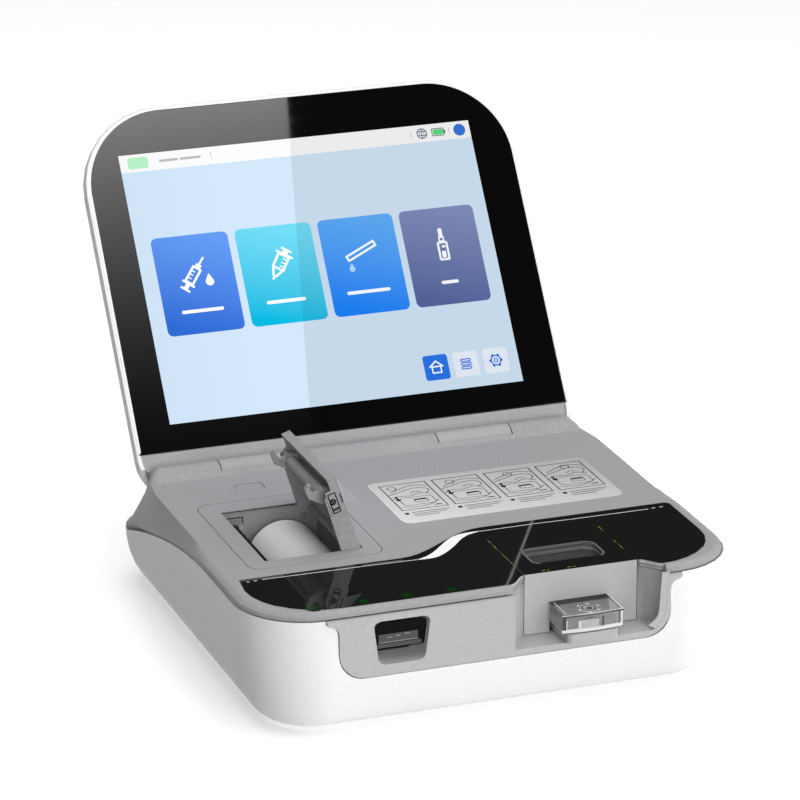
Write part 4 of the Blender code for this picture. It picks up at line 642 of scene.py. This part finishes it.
def onScreen(u, v, layer=0, turn=0):
    facts = screenFacts
    lift = facts["lift"] * (1 + layer) - lidFacts["glassBack"]
    return lidPlace @ at(u - facts["width"] / 2 + screenShift, v + facts["start"], lift, turn)


def screenPiece(name, bm, material, u=0, v=0, layer=0, turn=0):
    piece = finishPiece(name, bm, material, "lid", place=onScreen(u, v, layer, turn))
    piece.visible_glossy = False
    return piece


def lit(name):
    # a screen colour is made once, when it is first asked for
    return bpy.data.materials.get(name) or glow(name, *screenFacts["colours"][name])


def makeBackdrop(facts):
    width, height = facts["width"], facts["height"]
    screenPiece("screen_field", plate(width, height, 0, 0.02), lit("screen_blue"), width / 2, height / 2)
    level = height - facts["barHeight"] / 2
    bar = plate(width, facts["barHeight"], 0, 0.02)
    screenPiece("screen_bar", bar, lit("screen_bar_pale"), width / 2, level, 1)
    for name, colour, along, rows in facts["status"]:
        screenPiece(name, build(rows), lit(colour), along, level, 2)


def makeCards(facts):
    low, high = facts["cardLow"], facts["cardLow"] + facts["cardHeight"]
    for left, (name, dark, light) in zip(facts["cardLefts"], facts["cards"]):
        middle = (left + facts["cardWidth"] / 2, (low + high) / 2)
        card = plate(facts["cardWidth"], facts["cardHeight"], facts["cardCorner"], 0.02)
        paint = glow(name + "_glow", dark, light, low, high, middle[0], facts["cardSweep"])
        screenPiece(name, card, paint, *middle, 1)
    centres = [left + facts["cardWidth"] / 2 for left in facts["cardLefts"]]
    level = facts["cardLow"] + facts["cardHeight"] * facts["signLevel"]
    for name, colour, card, shift, rise, turn, rows in facts["signs"]:
        screenPiece(name, build(rows), lit(colour), centres[card] + shift, level + rise, 2, turn)
    level = low + facts["cardLineLevel"]
    for i, (centre, length) in enumerate(zip(centres, facts["cardLines"])):
        bar = plate(length, *facts["cardLine"], 0.02)
        screenPiece("card_line_%d" % (i + 1), bar, lit("sign_white"), centre, level, 2)


def makeButtons(facts):
    level, size = facts["buttonLevel"], facts["buttonSize"]
    for i, centre in enumerate(facts["buttonCentres"]):
        face = plate(size, size, facts["buttonCorner"], 0.02)
        paint = lit("button_pale" if i else "button_blue")
        screenPiece("screen_button_%d" % (i + 1), face, paint, centre, level, 1)
    for centre, (name, colour, rows) in zip(facts["buttonCentres"], facts["buttonSigns"]):
        screenPiece(name, build(rows), lit(colour), centre, level, 2)


makeBackdrop(screenFacts)
makeCards(screenFacts)
makeButtons(screenFacts)
print("lid ready")


# print on the top: the black panel's lines, the lamps and the label

def onTop(x, depthBehind, lift=0.02, turn=0):
    return Matrix.Translation((0, front, topZ)) @ at(x + screenShift, depthBehind, lift, turn)


def onTopPiece(name, bm, material, body="base", lift=0.02):
    finishPiece(name, bm, material, body, place=onTop(0, 0, lift))


strokeOverlap = 0.6


def stroke(points, width, thick=0.03):
    bm = bmesh.new()
    for a, b in zip(points, points[1:]):
        span = Vector(b) - Vector(a)
        middle = (Vector(a) + Vector(b)) / 2
        turn = math.degrees(math.atan2(span.y, span.x))
        length = span.length + width * strokeOverlap
        gather(bm, plate(length, width, 0, thick), at(middle.x, middle.y, 0, turn))
    return bm


def ink(name, colour, roughness=0.3):
    paint = Paint(name, Roughness=roughness)
    patch, shade = paint.noise(surfaceFacts["inkPatch"] * mm, 3), surfaceFacts["inkShade"]
    paint.set(BaseColor=paint.mix(patch, tone(colour, 1 - shade), tone(colour, 1 + shade)))
    return paint.material


printFacts = {
    "lineLeft": ((-87.1, 44.5), (-45.2, 43.9), (-20.9, 43.2)), "lineWidth": 0.42, "thick": 0.03,
    "lineRight": ((12.8, 63.6), (23.3, 63.8), (37.1, 63.9), (53.8, 63.4), (88.6, 63.1)),
    # painted reflection: grey strips along the panel's back edge
    "edgeLeft": ((-96.3, 45.9), (-78, 45.8)), "reflectionRight": ((-44.5, 45.1), (-27.5, 44.7)),
    "reflectionWidth": 0.9, "edgeLift": 0.01,
    "dots": [((1.2, 0.5), (-93.4, 44)), ((1.2, 0.5), (-90.2, 44.1)),
             ((1.7, 0.45), (91.1, 63.5)), ((1.7, 0.45), (94.7, 63.7))],
    "swooshUpper": ((-21, 43.4), (-16.5, 45.5), (-12, 49.1), (-6.7, 54.8), (-2, 59.6), (1.8, 62.4),
                    (7.5, 64), (13.6, 64.1)),
    "swooshLower": ((-21.1, 42.9), (-17, 42.6), (-12.5, 43.4), (-7.7, 46.6), (-2, 52.1), (3.1, 58),
                    (8.1, 61.9), (13.6, 63.6)),
    "swooshSteps": 28, "swooshLift": 0.05,
    # yellow dashes: the line's place, then where each dash starts and ends
    "dashLeft": (12.9, ((54.2, 49), (47.6, 42.2), (37.2, 33.6), (32.8, 30), (27.3, 22.4))),
    "dashRight": (61.5, ((52.8, 49.4), (48.6, 45.8), (35.4, 29.6), (28.8, 24.2))),
    "dashFront": (14.7, ((21.4, 22.9), (23.6, 25), (32.5, 34), (34.6, 36.1))), "dashWidth": 0.24,
    "lamps": ((-77.5, 9.2), (-56.9, 9.4), (-38.4, 9.3), (-19.8, 9.1)),
    "lampRadius": 2.2, "lampThick": 0.04, "seatRadius": 3.6, "lampMark": (1.05, 0.75),
}


def curved(points, share):
    # a smooth way through the points, share running from 0 to 1
    place = share * (len(points) - 1)
    i = min(int(place), len(points) - 2)
    t = place - i
    a, b, c, d = (Vector(points[min(max(i + k, 0), len(points) - 1)]) for k in (-1, 0, 1, 2))
    bend = (2 * a - 5 * b + 4 * c - d) * t ** 2 + (3 * b - a - 3 * c + d) * t ** 3
    return 0.5 * (2 * b + (c - a) * t + bend)


def between(upper, lower, steps, thick):
    # a flat band between two curves
    bm = grid(steps)
    for vert in bm.verts:
        spot = curved(upper if vert.co.y > 0 else lower, vert.co.x + 0.5)
        vert.co = (spot.x * mm, spot.y * mm, 0)
    return thicken(bm, thick)


def makePanelLines(facts):
    line = stroke(facts["lineLeft"], facts["lineWidth"])
    gather(line, stroke(facts["lineRight"], facts["lineWidth"]))
    gather(line, build(facts["dots"], facts["thick"]))
    onTopPiece("panel_line", line, ink("print_white", (0.8, 0.8, 0.8)))
    swoosh = between(facts["swooshUpper"], facts["swooshLower"], facts["swooshSteps"], facts["thick"])
    onTopPiece("panel_swoosh", swoosh, ink("swoosh_white", (0.96, 0.96, 0.96)), lift=facts["swooshLift"])
    # painted reflection: grey strips along the panel's back edge, left and right of the darker middle
    reflectionStrips = stroke(facts["edgeLeft"], facts["reflectionWidth"])
    gather(reflectionStrips, stroke(facts["reflectionRight"], facts["reflectionWidth"]))
    edge = ink("panel_painted_reflection_grey", (0.13, 0.13, 0.132), 0.2)
    onTopPiece("panel_painted_reflection", reflectionStrips, edge, lift=facts["edgeLift"])


wornFacts = {"grain": 2.2, "from": 0.47, "contrast": 9}


def wornInk(name, colour, under):
    # thin print that shows only in patches
    paint = Paint(name, Roughness=0.3)
    patch = paint.noise(wornFacts["grain"] * mm, 2)
    share = ((patch - wornFacts["from"]) * wornFacts["contrast"]).clamp()
    paint.set(BaseColor=paint.mix(share, under, colour))
    return paint.material


def makeDashes(facts):
    yellow = wornInk("print_yellow", (0.6, 0.44, 0.03), (0.05, 0.04, 0.012))
    width = facts["dashWidth"]
    for side in ("Left", "Right"):
        x, spans = facts["dash" + side]
        rows = [((width, far - near), (x, (far + near) / 2)) for far, near in spans]
        onTopPiece("bay_dashes_" + side.lower(), build(rows, facts["thick"]), yellow)
    depthBehind, spans = facts["dashFront"]
    rows = [((right - left, width), ((left + right) / 2, depthBehind)) for left, right in spans]
    onTopPiece("cover_dashes", build(rows, facts["thick"]), yellow, "sliding_cover")


def makePaintedScoopRim(facts):
    # painted light: a lighter band round the scoop, open at its near side, standing in for the scoop's lit
    # walls
    (x, depthBehind), size = facts["scoop"], facts["scoopSize"]
    bm = outline(*size, facts["scoopCorner"], facts["scoopRim"], 0.04)
    nearSide = [f for f in bm.faces if f.calc_center_median().y < (facts["scoopRim"] - size[1] / 2) * mm]
    bmesh.ops.delete(bm, geom=nearSide, context="FACES")
    place = onTop(x - screenShift, depthBehind)
    finishPiece("scoop_painted_lit_rim", bm, "scoopWall", "sliding_cover", place=place)


def makeLamps(facts):
    green = ink("lamp_green", (0.003, 0.033, 0.003), 0.15)
    mark = ink("lamp_mark", (0.006, 0.055, 0.008), 0.2)
    spots, thick = facts["lamps"], facts["lampThick"]
    seats = [("disc", (facts["seatRadius"],), (*spot, -0.02)) for spot in spots]
    lamps = [("disc", (facts["lampRadius"],), spot) for spot in spots]
    marks = [("ring", facts["lampMark"], (*spot, thick)) for spot in spots]
    onTopPiece("lamp_seats", build(seats), "panel")
    onTopPiece("lamp_lenses", build(lamps, thick), green)
    onTopPiece("lamp_marks", build(marks), mark)


makePanelLines(printFacts)
makeDashes(printFacts)
makePaintedScoopRim(baySettings)
makeLamps(printFacts)

labelFacts = {
    "centre": (36.5, 105.7), "size": (98.8, 48.6), "corner": 4, "thick": 0.2, "sheetLift": 0.05,
    # the film's painted light and shade: its lit and shaded tones, and how strongly the shade runs across
    # and along
    "inkLift": 0.26, "bright": (0.74, 0.74, 0.735), "dull": (0.4, 0.4, 0.4),
    "shadeAcross": 0.45, "shadeAlong": 0.5, "patches": 0.2, "panels": 4,
    "panelSize": (20.8, 30), "firstPanel": (1.8, 110.6), "pitch": 23.6, "line": 0.7, "thin": 0.36,
    "bullet": (1.05, -9.6), "noteDepth": 92, "noteStart": -7.4, "noteLine": 0.6,
    "noteLines": ((17, 0.6), (15, -1.4), (11, -3.4)),
    # in each panel: a tub with a slot, an arrow and a few loose outlines
    "sketch": [
        ("outline", (15, 9, 2.2, 0.36), (0, -5.5)), ("outline", (6, 4, 0.8, 0.36), (1.5, -5.5)),
        ((5, 1.1, 0.3), (1.5, -4.4)), ((0.9, 4), (-7.6, -0.6)),
        ((1.9, 1.9), (-7.6, -2.6, 0, 45)), ((3.4, 0.8, 0.3), (6.6, -12.2)),
    ],
    "sketchWays": (
        ((-9.6, 3.4), (-4, 6), (2, 8.6), (7.4, 7.8), (8.6, 4.4), (6.2, 1.4)),
        ((-9.4, -1), (-6, 1.2), (-1, 0.4), (4, 2.6), (8, 0)),
        ((-8, 6), (-2, 10), (4, 12), (9.6, 9.6)),
        ((-9, -10.6), (-3, -12.4), (4, -11), (9, -7)),
        ((0, 3), (1.4, 4.6), (3.2, 4.8), (4.4, 3.6)),
    ),
    "waySteps": 10,
    # a round mark moves on from panel to panel
    "mark": (2.1, 1.7), "markStart": (-6, 10.4), "markStep": 2.6,
}


def paintedShadeFilm(name, facts):
    # painted light and shade: bright at the near left corner, shaded duller towards the far right one
    paint = Paint(name, Roughness=0.35)
    x, y, z = paint.axes()
    width, depth = facts["size"]
    across = (x / mm - facts["centre"][0]) / width + 0.5
    along = ((y - front) / mm - facts["centre"][1]) / depth + 0.5
    patch = (paint.noise(surfaceFacts["inkPatch"] * mm, 3) - 0.5) * facts["patches"]
    share = (across * facts["shadeAcross"] + along * facts["shadeAlong"] + patch).clamp()
    paint.set(BaseColor=paint.mix(share, facts["bright"], facts["dull"]))
    return paint.material


def makeLabel(facts):
    film = paintedShadeFilm("label_film_painted_shade", facts)
    dark = ink("label_ink", (0.012, 0.012, 0.012), 0.5)
    fine = ink("label_fine_ink", (0.13, 0.13, 0.13), 0.5)
    sheet = plate(*facts["size"], facts["corner"], facts["thick"], 8)
    finishPiece("label_sheet", sheet, film, "base", ("instruction_label",),
                place=onTop(*facts["centre"], facts["sheetLift"]))
    frames, notes, sketches = bmesh.new(), bmesh.new(), bmesh.new()
    radius, bulletAt = facts["bullet"]
    markX, markDepth = facts["markStart"]
    steps = facts["waySteps"]
    for i in range(facts["panels"]):
        x, depthBehind = facts["firstPanel"][0] + facts["pitch"] * i, facts["firstPanel"][1]
        gather(frames, outline(*facts["panelSize"], 0, facts["line"]), at(x, depthBehind))
        gather(sketches, disc(radius), at(x + bulletAt, facts["noteDepth"]))
        rows = [((length, facts["noteLine"]), (facts["noteStart"] + length / 2, rise))
                for length, rise in facts["noteLines"]]
        gather(notes, build(rows), at(x, facts["noteDepth"]))
        gather(sketches, build(facts["sketch"]), at(x, depthBehind))
        for way in facts["sketchWays"]:
            smoothed = [curved(way, step / steps) for step in range(steps + 1)]
            gather(sketches, stroke(smoothed, facts["thin"], 0.02), at(x, depthBehind))
        spot = at(x + markX + facts["markStep"] * i, depthBehind + markDepth)
        gather(sketches, ring(*facts["mark"]), spot)
    onTopPiece("label_frames", frames, dark, lift=facts["inkLift"])
    onTopPiece("label_notes", notes, fine, lift=facts["inkLift"])
    onTopPiece("label_sketches", sketches, dark, lift=facts["inkLift"])


makeLabel(labelFacts)
print("top print ready")


# printer, scanner, cartridge and small parts

dressed("printer_frame", "grey")
dressed("printer_cover", "grey")
dressed("cover_roller", "grey", 40)
dressed("printer_release_button", "grey")
dressed("scanner_frame", "black")
dressed("cartridge_tray", "pale")
corners = ("front_left", "front_right", "rear_left", "rear_right")
recoat("rubber", "platen_roller", "cartridge_port_seal", *("foot_" + corner for corner in corners))
recoat("black", "platen_gear", "power_inlet")
recoat("dark", "print_head", "scanner_engine", "speaker", "rear_port_plate", "power_button")
recoat("steel", "measuring_module", "valve_motor", "printer_cover_pin", "hinge_pin_left",
       "hinge_pin_right", "usb_socket", "network_socket", *("base_screw_" + corner for corner in corners))
recoat("board", "main_board", "power_board", "display_board")
recoat("cell", "battery_pack")
recoat("dark", "display_panel")

lampPaint = Paint("lamp_clear", BaseColor=(0.01, 0.05, 0.02), Roughness=0.2)
recoat(lampPaint.material, "status_light_guide")


def clearPlastic(name, colour, alpha):
    paint = Paint(name, BaseColor=colour, Roughness=0.06)
    streak = paint.noise(surfaceFacts["streak"] * mm, 3)
    paint.set(Alpha=(streak - 0.5) * surfaceFacts["streakShare"] + alpha)
    return paint.material


recoat(clearPlastic("scanner_clear", (0.02, 0.02, 0.03), 0.55), "scanner_window")


def makeBayTrim(facts):
    # the cover's front up to the film, and the fascia's broad edge right of the bay
    finishPiece("cover_brow", plate(*facts["brow"]), "pale", "sliding_cover",
                place=upright(*facts["browPlace"]))
    rim = between(facts["rimOuter"], facts["rimInner"], facts["rimSteps"], facts["rimThick"])
    finishPiece("bay_rim", rim, "pale", "base", place=upright(0, facts["rimDepth"], 0))


makeBayTrim(baySettings)

# places in the frame: to the right, behind the front and up
scannerFacts = {
    "window": (-44.3, 3, 39.6), "size": (21.8, 11.4, 2.4), "thick": 0.4, "edge": 0.15,
    "optics": [((16.6, 3.4, 0.3), (-45.5, 2.6, 38.4)), ((19, 1.7, 0.3), (-45.2, 2.6, 35.2))],
    "marks": [((16.6, 0.3), (-45.5, 2.55, 36.6)), ((2.2, 0.35), (-49.1, 2.55, 38.64)),
              ((2.2, 0.35), (-45.7, 2.55, 38.98)), ((2.2, 0.35), (-41.9, 2.55, 39.36))],
    "thin": 0.03,
}


def makeScannerWindow(facts):
    # a black gloss window with a lighter strip of optics in it
    window = plate(*facts["size"], facts["thick"])
    place = upright(*facts["window"])
    finishPiece("scanner_glass", window, "scannerGlass", "base", (), 30, facts["edge"], place)
    finishPiece("scanner_optics", build(facts["optics"], facts["thin"], upright), "optics", "base")
    finishPiece("scanner_marks", build(facts["marks"], facts["thin"], upright), "wall", "base")


makeScannerWindow(scannerFacts)

# places start at the lower left corner of the tip; a slab has two heights, two depths and how much
# wider it is than the shell
cartridgeFacts = {
    "corner": (22.2, -4.4, 32.2), "width": 26.3, "bow": 1.2, "steps": 12, "edge": 0.3,
    "shell": (0, 7.4, 0, 34.4, 0), "insert": (0.2, 2.4, 3, 33.4, -2),
    # painted highlights: light strips along the shell's edges and ends; painted shade: dark strips; painted
    # shadow: a dark band across the top behind the well
    "highlightSlabs": ((-0.1, 1.3, -0.12, 1.2, 0.1), (7.3, 7.44, -0.05, 0.45, 0)),
    "highlightFlat": [((0.5, 16), (26, 9.4, 7.4), 0.08), ((0.3, 13), (2.2, 9, 7.4), 0.05)],
    "highlightUpright": [((0.7, 7.4), (25.85, 1.3, 3.7), 0.3), ((0.35, 3.6), (1.9, 0.9, 3.4), 0.2)],
    "chamber": [((9, 3.6, 0.8), (11.2, 0.4, 3), 0.2)],
    "shadeSlabs": ((6.65, 7.05, -0.06, 0.3, 0),),
    "darkFlat": [((0.4, 15), (x, 9, 7.4), 0.05) for x in (0.4, 25.3)],
    "shadeUpright": [((1.5, 5.9), (0.8, 0.82, 4.3), 0.3), ((0.3, 5.6), (24.7, 1, 4), 0.3),
                    ((0.7, 4.4), (17.4, 0.3, 3.4), 0.2)],
    "darkEnd": [((25, 8), (13.15, 16.6, 7.4), 0.04)],
    "well": (13.3, 5.6, 7.4), "wellRings": [("ring", (3.6, 3.25), (0, 0)), ("ring", (2.3, 1.9), (0, 0))],
    "wellTicks": (6, 4.6, 15), "tick": (0.5, 1.5), "tickThick": 0.2, "wellThick": 0.3,
    "core": [("ring", (3.1, 2.4), (0, 0)), ("disc", (1.2,), (0.3, 0, 0.05))], "coreThick": 0.1,
}


def inCartridge(x, depth, z):
    left, tip, low = cartridgeFacts["corner"]
    return inFrame(left + x, tip + depth, low + z)


def standing(x, depth, z):
    return inCartridge(x, depth, z) @ standUp


def slab(low, high, near, far, grow=0):
    # a layer with the cartridge's gently rounded front, between two heights
    facts = cartridgeFacts
    bm = grid(facts["steps"])
    for vert in bm.verts:
        reach = near + facts["bow"] * (2 * vert.co.x) ** 2 if vert.co.y < 0 else far
        vert.co = (vert.co.x * (facts["width"] + grow) * mm, reach * mm, 0)
    raised(bm, high - low)
    bm.transform(inCartridge(facts["width"] / 2, 0, low))
    return bm


def layers(slabs, flatRows, uprightRows):
    bm = bmesh.new()
    for facts in slabs:
        gather(bm, slab(*facts))
    gather(bm, build(flatRows, way=inCartridge))
    return gather(bm, build(uprightRows, way=standing))


def makeCartridge(facts):
    clear = clearPlastic("cartridge_clear", (0.5, 0.51, 0.53), 0.34)
    paintedShadow = clearPlastic("cartridge_painted_shadow", (0.02, 0.02, 0.022), 0.62)
    # a light grey for the painted highlights and for the well's rings and ticks
    bright = moulded("cartridge_highlight_and_well_white", (0.74, 0.745, 0.75), 0.15, 0.6, 0.01, 0.03)
    # a dark gloss for the painted shade strips and for the well's core
    shade = polished("cartridge_shade", (0.035, 0.035, 0.038), 0.1)
    inner = moulded("cartridge_inner", (0.24, 0.245, 0.25), 0.3, 0.6, 0.01, 0.05)
    edge = facts["edge"]
    stands = ("cartridge_body", "cartridge_lid")
    finishPiece("cartridge_shell", slab(*facts["shell"]), clear, "cartridge", stands, 30, edge)
    finishPiece("cartridge_chamber", build(facts["chamber"], way=standing), "rim", "cartridge")
    # painted highlights: light strips standing in for light caught on the shell's edges
    lines = layers(facts["highlightSlabs"], facts["highlightFlat"], facts["highlightUpright"])
    finishPiece("cartridge_painted_highlights", lines, bright, "cartridge")
    # painted shade: dark strips on the shell
    dark = layers(facts["shadeSlabs"], facts["darkFlat"], facts["shadeUpright"])
    finishPiece("cartridge_painted_shades", dark, shade, "cartridge")
    # painted shadow: a dark clear band over the top
    finishPiece("cartridge_painted_shadow_band", build(facts["darkEnd"], way=inCartridge), paintedShadow, "cartridge")
    place = inCartridge(*facts["well"])
    well = build(facts["wellRings"], facts["wellThick"])
    ticks = [(facts["tick"], spot) for spot in around(*facts["wellTicks"])]
    gather(well, build(ticks, facts["tickThick"]))
    finishPiece("cartridge_well", well, bright, "cartridge", place=place)
    finishPiece("cartridge_core", build(facts["core"], facts["coreThick"]), shade, "cartridge", place=place)
    finishPiece("cartridge_insert", slab(*facts["insert"]), inner, "cartridge", (), 30, edge)


makeCartridge(cartridgeFacts)

# the bucket's places are in the frame, the flap's along and up on the closed flap's near edge
printerFacts = {
    "bar": [((2.8, 50, 0.6), (-77.7, 88, 45.8), 3)], "barEdge": 0.5,
    "gear": (-77.1, 115, 46.6), "teeth": (12, 1.7), "tooth": (0.9, 0.45), "gearThick": 1.2,
    "hub": [("disc", (1.6,), (-77.1, 114.4, 46.6), 1.2)],
    "lines": [((34, 0.45), (-64, 120.8, 52.1)), ((7.4, 0.5), (-74.9, 120.8, 49.4)),
              ((0.5, 2.9), (-71.4, 120.8, 48))],
    "lineThick": 0.1,
    "ledge": [((34, 0.5), (-64, 120.8, 51.4), 0.4), ((6.6, 1.6, 0.3), (-75.2, 120.75, 48.3), 0.3),
              ((3, 3.6, 0.6), (-44.4, 120.8, 46.4), 0.4)],
    "thinEdge": 0.1, "flapAxis": (-41.2, 50.5), "flapOpen": 71.5,
    "bracket": [((7, 3.6, 0.5), (-31.6, 0.2), 0.3), ((11, 4.6, 0.5), (-25.4, -2), 0.36)],
    "pocket": [("outline", (9.2, 3.6, 0.4, 0.5), (-25.2, -1.9, 0.36), 0.08),
               ("disc", (0.6,), (-25.9, -2.3, 0.38), 0.05), ((7.4, 1, 0.3), (-21.4, -6), 0.2),
               ((1.2, 3, 0.3), (-22.4, -1.9, 0.36), 0.08)],
    "screw": [("ring", (1.4, 0.7), (-25.9, -2.3, 0.36), 0.08)],
    "edge": [((15.5, 0.5), (-27.2, 2.3, 0.3), 0.1)],
    "tab": ((-35.7, 1.4), (-20.6, 9.1), (-24, 1.2)), "tabThick": 0.3,
}


def onFlap(along, rise, lift=0):
    x, z = printerFacts["flapAxis"]
    edge = (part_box("printer_cover")[0].y - front) / mm
    axis = inFrame(x, edge, z) @ Matrix.Rotation(math.radians(printerFacts["flapOpen"]), 4, "Y")
    return axis @ Matrix.Translation((along * mm, 0, rise * mm)) @ standUp @ at(0, 0, lift)


def makeBucketDetails(facts):
    bar = build(facts["bar"], way=inFrame)
    finishPiece("paper_guide_bar", bar, "black", "base", (), 30, facts["barEdge"])
    teeth = build([(facts["tooth"], spot) for spot in around(*facts["teeth"])], facts["gearThick"])
    gear = gather(bmesh.new(), teeth, upright(*facts["gear"]))
    gather(gear, build(facts["hub"], way=upright))
    finishPiece("guide_gear", gear, "black", "base")
    finishPiece("bucket_lines", build(facts["lines"], facts["lineThick"], upright), "dark", "base")
    ledge = build(facts["ledge"], way=upright)
    finishPiece("bucket_ledge", ledge, "inner", "base", (), 30, facts["thinEdge"])


def makeFlapDetails(facts):
    body = "printer_flap"
    bracket = build(facts["bracket"], way=onFlap)
    finishPiece("flap_bracket", bracket, "grey", body, (), 30, facts["thinEdge"])
    finishPiece("flap_pocket", build(facts["pocket"], way=onFlap), "dark", body)
    finishPiece("flap_screw", build(facts["screw"], way=onFlap), "rim", body)
    finishPiece("flap_edge", build(facts["edge"], way=onFlap), "pale", body)
    sheet = bmesh.new()
    sheet.faces.new([sheet.verts.new((x * mm, y * mm, 0)) for x, y in facts["tab"]])
    thicken(sheet, facts["tabThick"])
    paint = clearPlastic("tab_clear", (0.72, 0.72, 0.73), 0.52)
    finishPiece("flap_clear_tab", sheet, paint, body, place=onFlap(0, 0))


makeBucketDetails(printerFacts)
makeFlapDetails(printerFacts)

rollFacts = {"grow": 1.3, "core": 6, "edge": 0.3, "steps": 72}


def makeRoll(facts):
    low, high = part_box("paper_roll")
    radius, half = (high.z - low.z) / 2 + facts["grow"] * mm, (high.y - low.y) / 2
    core, edge = facts["core"] * mm, facts["edge"] * mm
    profile = [(core, -half), (radius - edge, -half), (radius, edge - half), (radius, half - edge),
               (radius - edge, half), (core, half)]
    bm = bmesh.new()
    verts = [bm.verts.new((r, y, 0)) for r, y in profile]
    edges = [bm.edges.new((a, b)) for a, b in zip(verts, verts[1:] + verts[:1])]
    bmesh.ops.spin(bm, geom=verts + edges, cent=(0, 0, 0), axis=(0, 1, 0), dvec=(0, 0, 0), angle=math.tau,
                   steps=facts["steps"], use_merge=True)
    bmesh.ops.remove_doubles(bm, verts=bm.verts[:], dist=0.001 * mm)
    place = Matrix.Translation((low + high) / 2)
    finishPiece("paper_roll_wound", bm, "paper", "base", ("paper_roll",), 35, place=place)


makeRoll(rollFacts)
print("small parts ready")


# stage: floor, light and camera

floorFacts = {"reach": 6, "colour": (0.95, 0.95, 0.95), "roughness": 0.9, "lift": (0.215, 0.215, 0.215)}


def makeFloor(facts):
    floor = toScene("floor", grid(size=facts["reach"]))
    floor.visible_diffuse = False
    paint = Paint("floor_paint", BaseColor=facts["colour"], Roughness=facts["roughness"],
                  EmissionColor=facts["lift"], EmissionStrength=1)
    floor.data.materials.append(paint.material)


# each light's place, size and power; no mirror image shows them
lightFacts = {
    "top_light": ((-0.18, 0.07, 1.55), (1.2, 1.2), 13.5),
    "front_light": ((-0.18, -1.48, 0.42), (1.4, 0.6), 12.2),
}
lightAim = (0, 0, 0.05)


def softLight(name, place, size, power):
    data = bpy.data.lights.new(name, "AREA")
    data.shape = "RECTANGLE"
    data.size, data.size_y = size
    data.energy = power
    lamp = linked(name, data)
    lamp.location = place
    lamp.rotation_euler = (Vector(lightAim) - Vector(place)).to_track_quat("-Z", "Y").to_euler()
    lamp.visible_glossy = False


worldFacts = {"level": 0.695, "slope": 0.84, "towards": (0.93, 0.21, -0.3)}


class Sky(Paint):
    def __init__(self, name):
        self.world = bpy.data.worlds.new(name)
        self.world.use_nodes = True
        self.tree = self.world.node_tree
        self.shader = self.tree.nodes["Background"]


def makeWorld(facts):
    # a studio that is brighter towards the object's right, back and foot
    sky = Sky("studio")
    ray = sky.node("TexCoord")
    facing = sky.node("VectorMath", {"operation": "DOT_PRODUCT"}, {0: ray, 1: facts["towards"]}, output=1)
    level = facing * facts["slope"] + facts["level"]
    bpy.context.scene.world = sky.world
    sky.set(Color=sky.scaled((1, 1, 1), level), Strength=1)
    sky.world.cycles_visibility.glossy = False


cameraFacts = {
    "place": (-0.60564, -1.66005, 0.7242), "azimuth": -20.151, "elevation": 19.805, "lens": 200.2,
    "sensor": 36, "far": 50,
}


def makeCamera(facts):
    data = bpy.data.cameras.new("photo_camera")
    data.sensor_width = facts["sensor"]
    data.lens = facts["lens"]
    data.clip_end = facts["far"]
    camera = linked("photo_camera", data)
    camera.location = facts["place"]
    tilt, turn = math.radians(90 - facts["elevation"]), math.radians(facts["azimuth"])
    camera.rotation_euler = Euler((tilt, 0, turn))
    bpy.context.scene.camera = camera
    return camera


cardFacts = {"reach": 1, "low": -25, "high": 150, "wide": 150, "power": 2.5, "strength": 5.9}


def makeCard(facts, camera):
    # a bright card mirrored in the glass, with its edge along the slanting line
    normal = lidPlace.to_3x3() @ Vector((0, 0, 1))
    origin = lidPlace @ Vector((0, 0, -lidFacts["glassBack"] * mm))
    behind = camera.location - 2 * (camera.location - origin).dot(normal) * normal
    (lowX, lowY), (highX, highY) = screenReflectionFacts["low"], screenReflectionFacts["high"]
    slant = (highX - lowX) / (highY - lowY)
    bm = grid()
    for vert in bm.verts:
        v = facts["high"] if vert.co.y > 0 else facts["low"]
        u = lowX + slant * (v - lowY) - (facts["wide"] if vert.co.x < 0 else 0)
        spot = onScreen(u, v).translation
        vert.co = behind + (spot - behind) * (1 + facts["reach"] / (spot - behind).length)
    card = toScene("card", bm)
    levels = [v.co.dot(lidPlace.to_3x3() @ Vector((0, 1, 0))) for v in card.data.vertices]
    paint = Paint("card_light", BaseColor=(0, 0, 0), EmissionStrength=facts["strength"])
    x, y, z = paint.axes()
    along = y * math.cos(lidTurn) + z * math.sin(lidTurn)
    share = ((along - min(levels)) / (max(levels) - min(levels))).clamp()
    paint.set(EmissionColor=paint.mix(share ** facts["power"], (0, 0, 0), (1, 1, 1)))
    card.data.materials.append(paint.material)
    for kind in ("camera", "diffuse", "transmission", "volume_scatter", "shadow"):
        setattr(card, "visible_" + kind, False)


makeFloor(floorFacts)
makeWorld(worldFacts)
for name, (place, size, power) in lightFacts.items():
    softLight(name, place, size, power)
bpy.context.scene.view_settings.view_transform = "Standard"
camera = makeCamera(cameraFacts)
makeCard(cardFacts, camera)
print("stage ready")
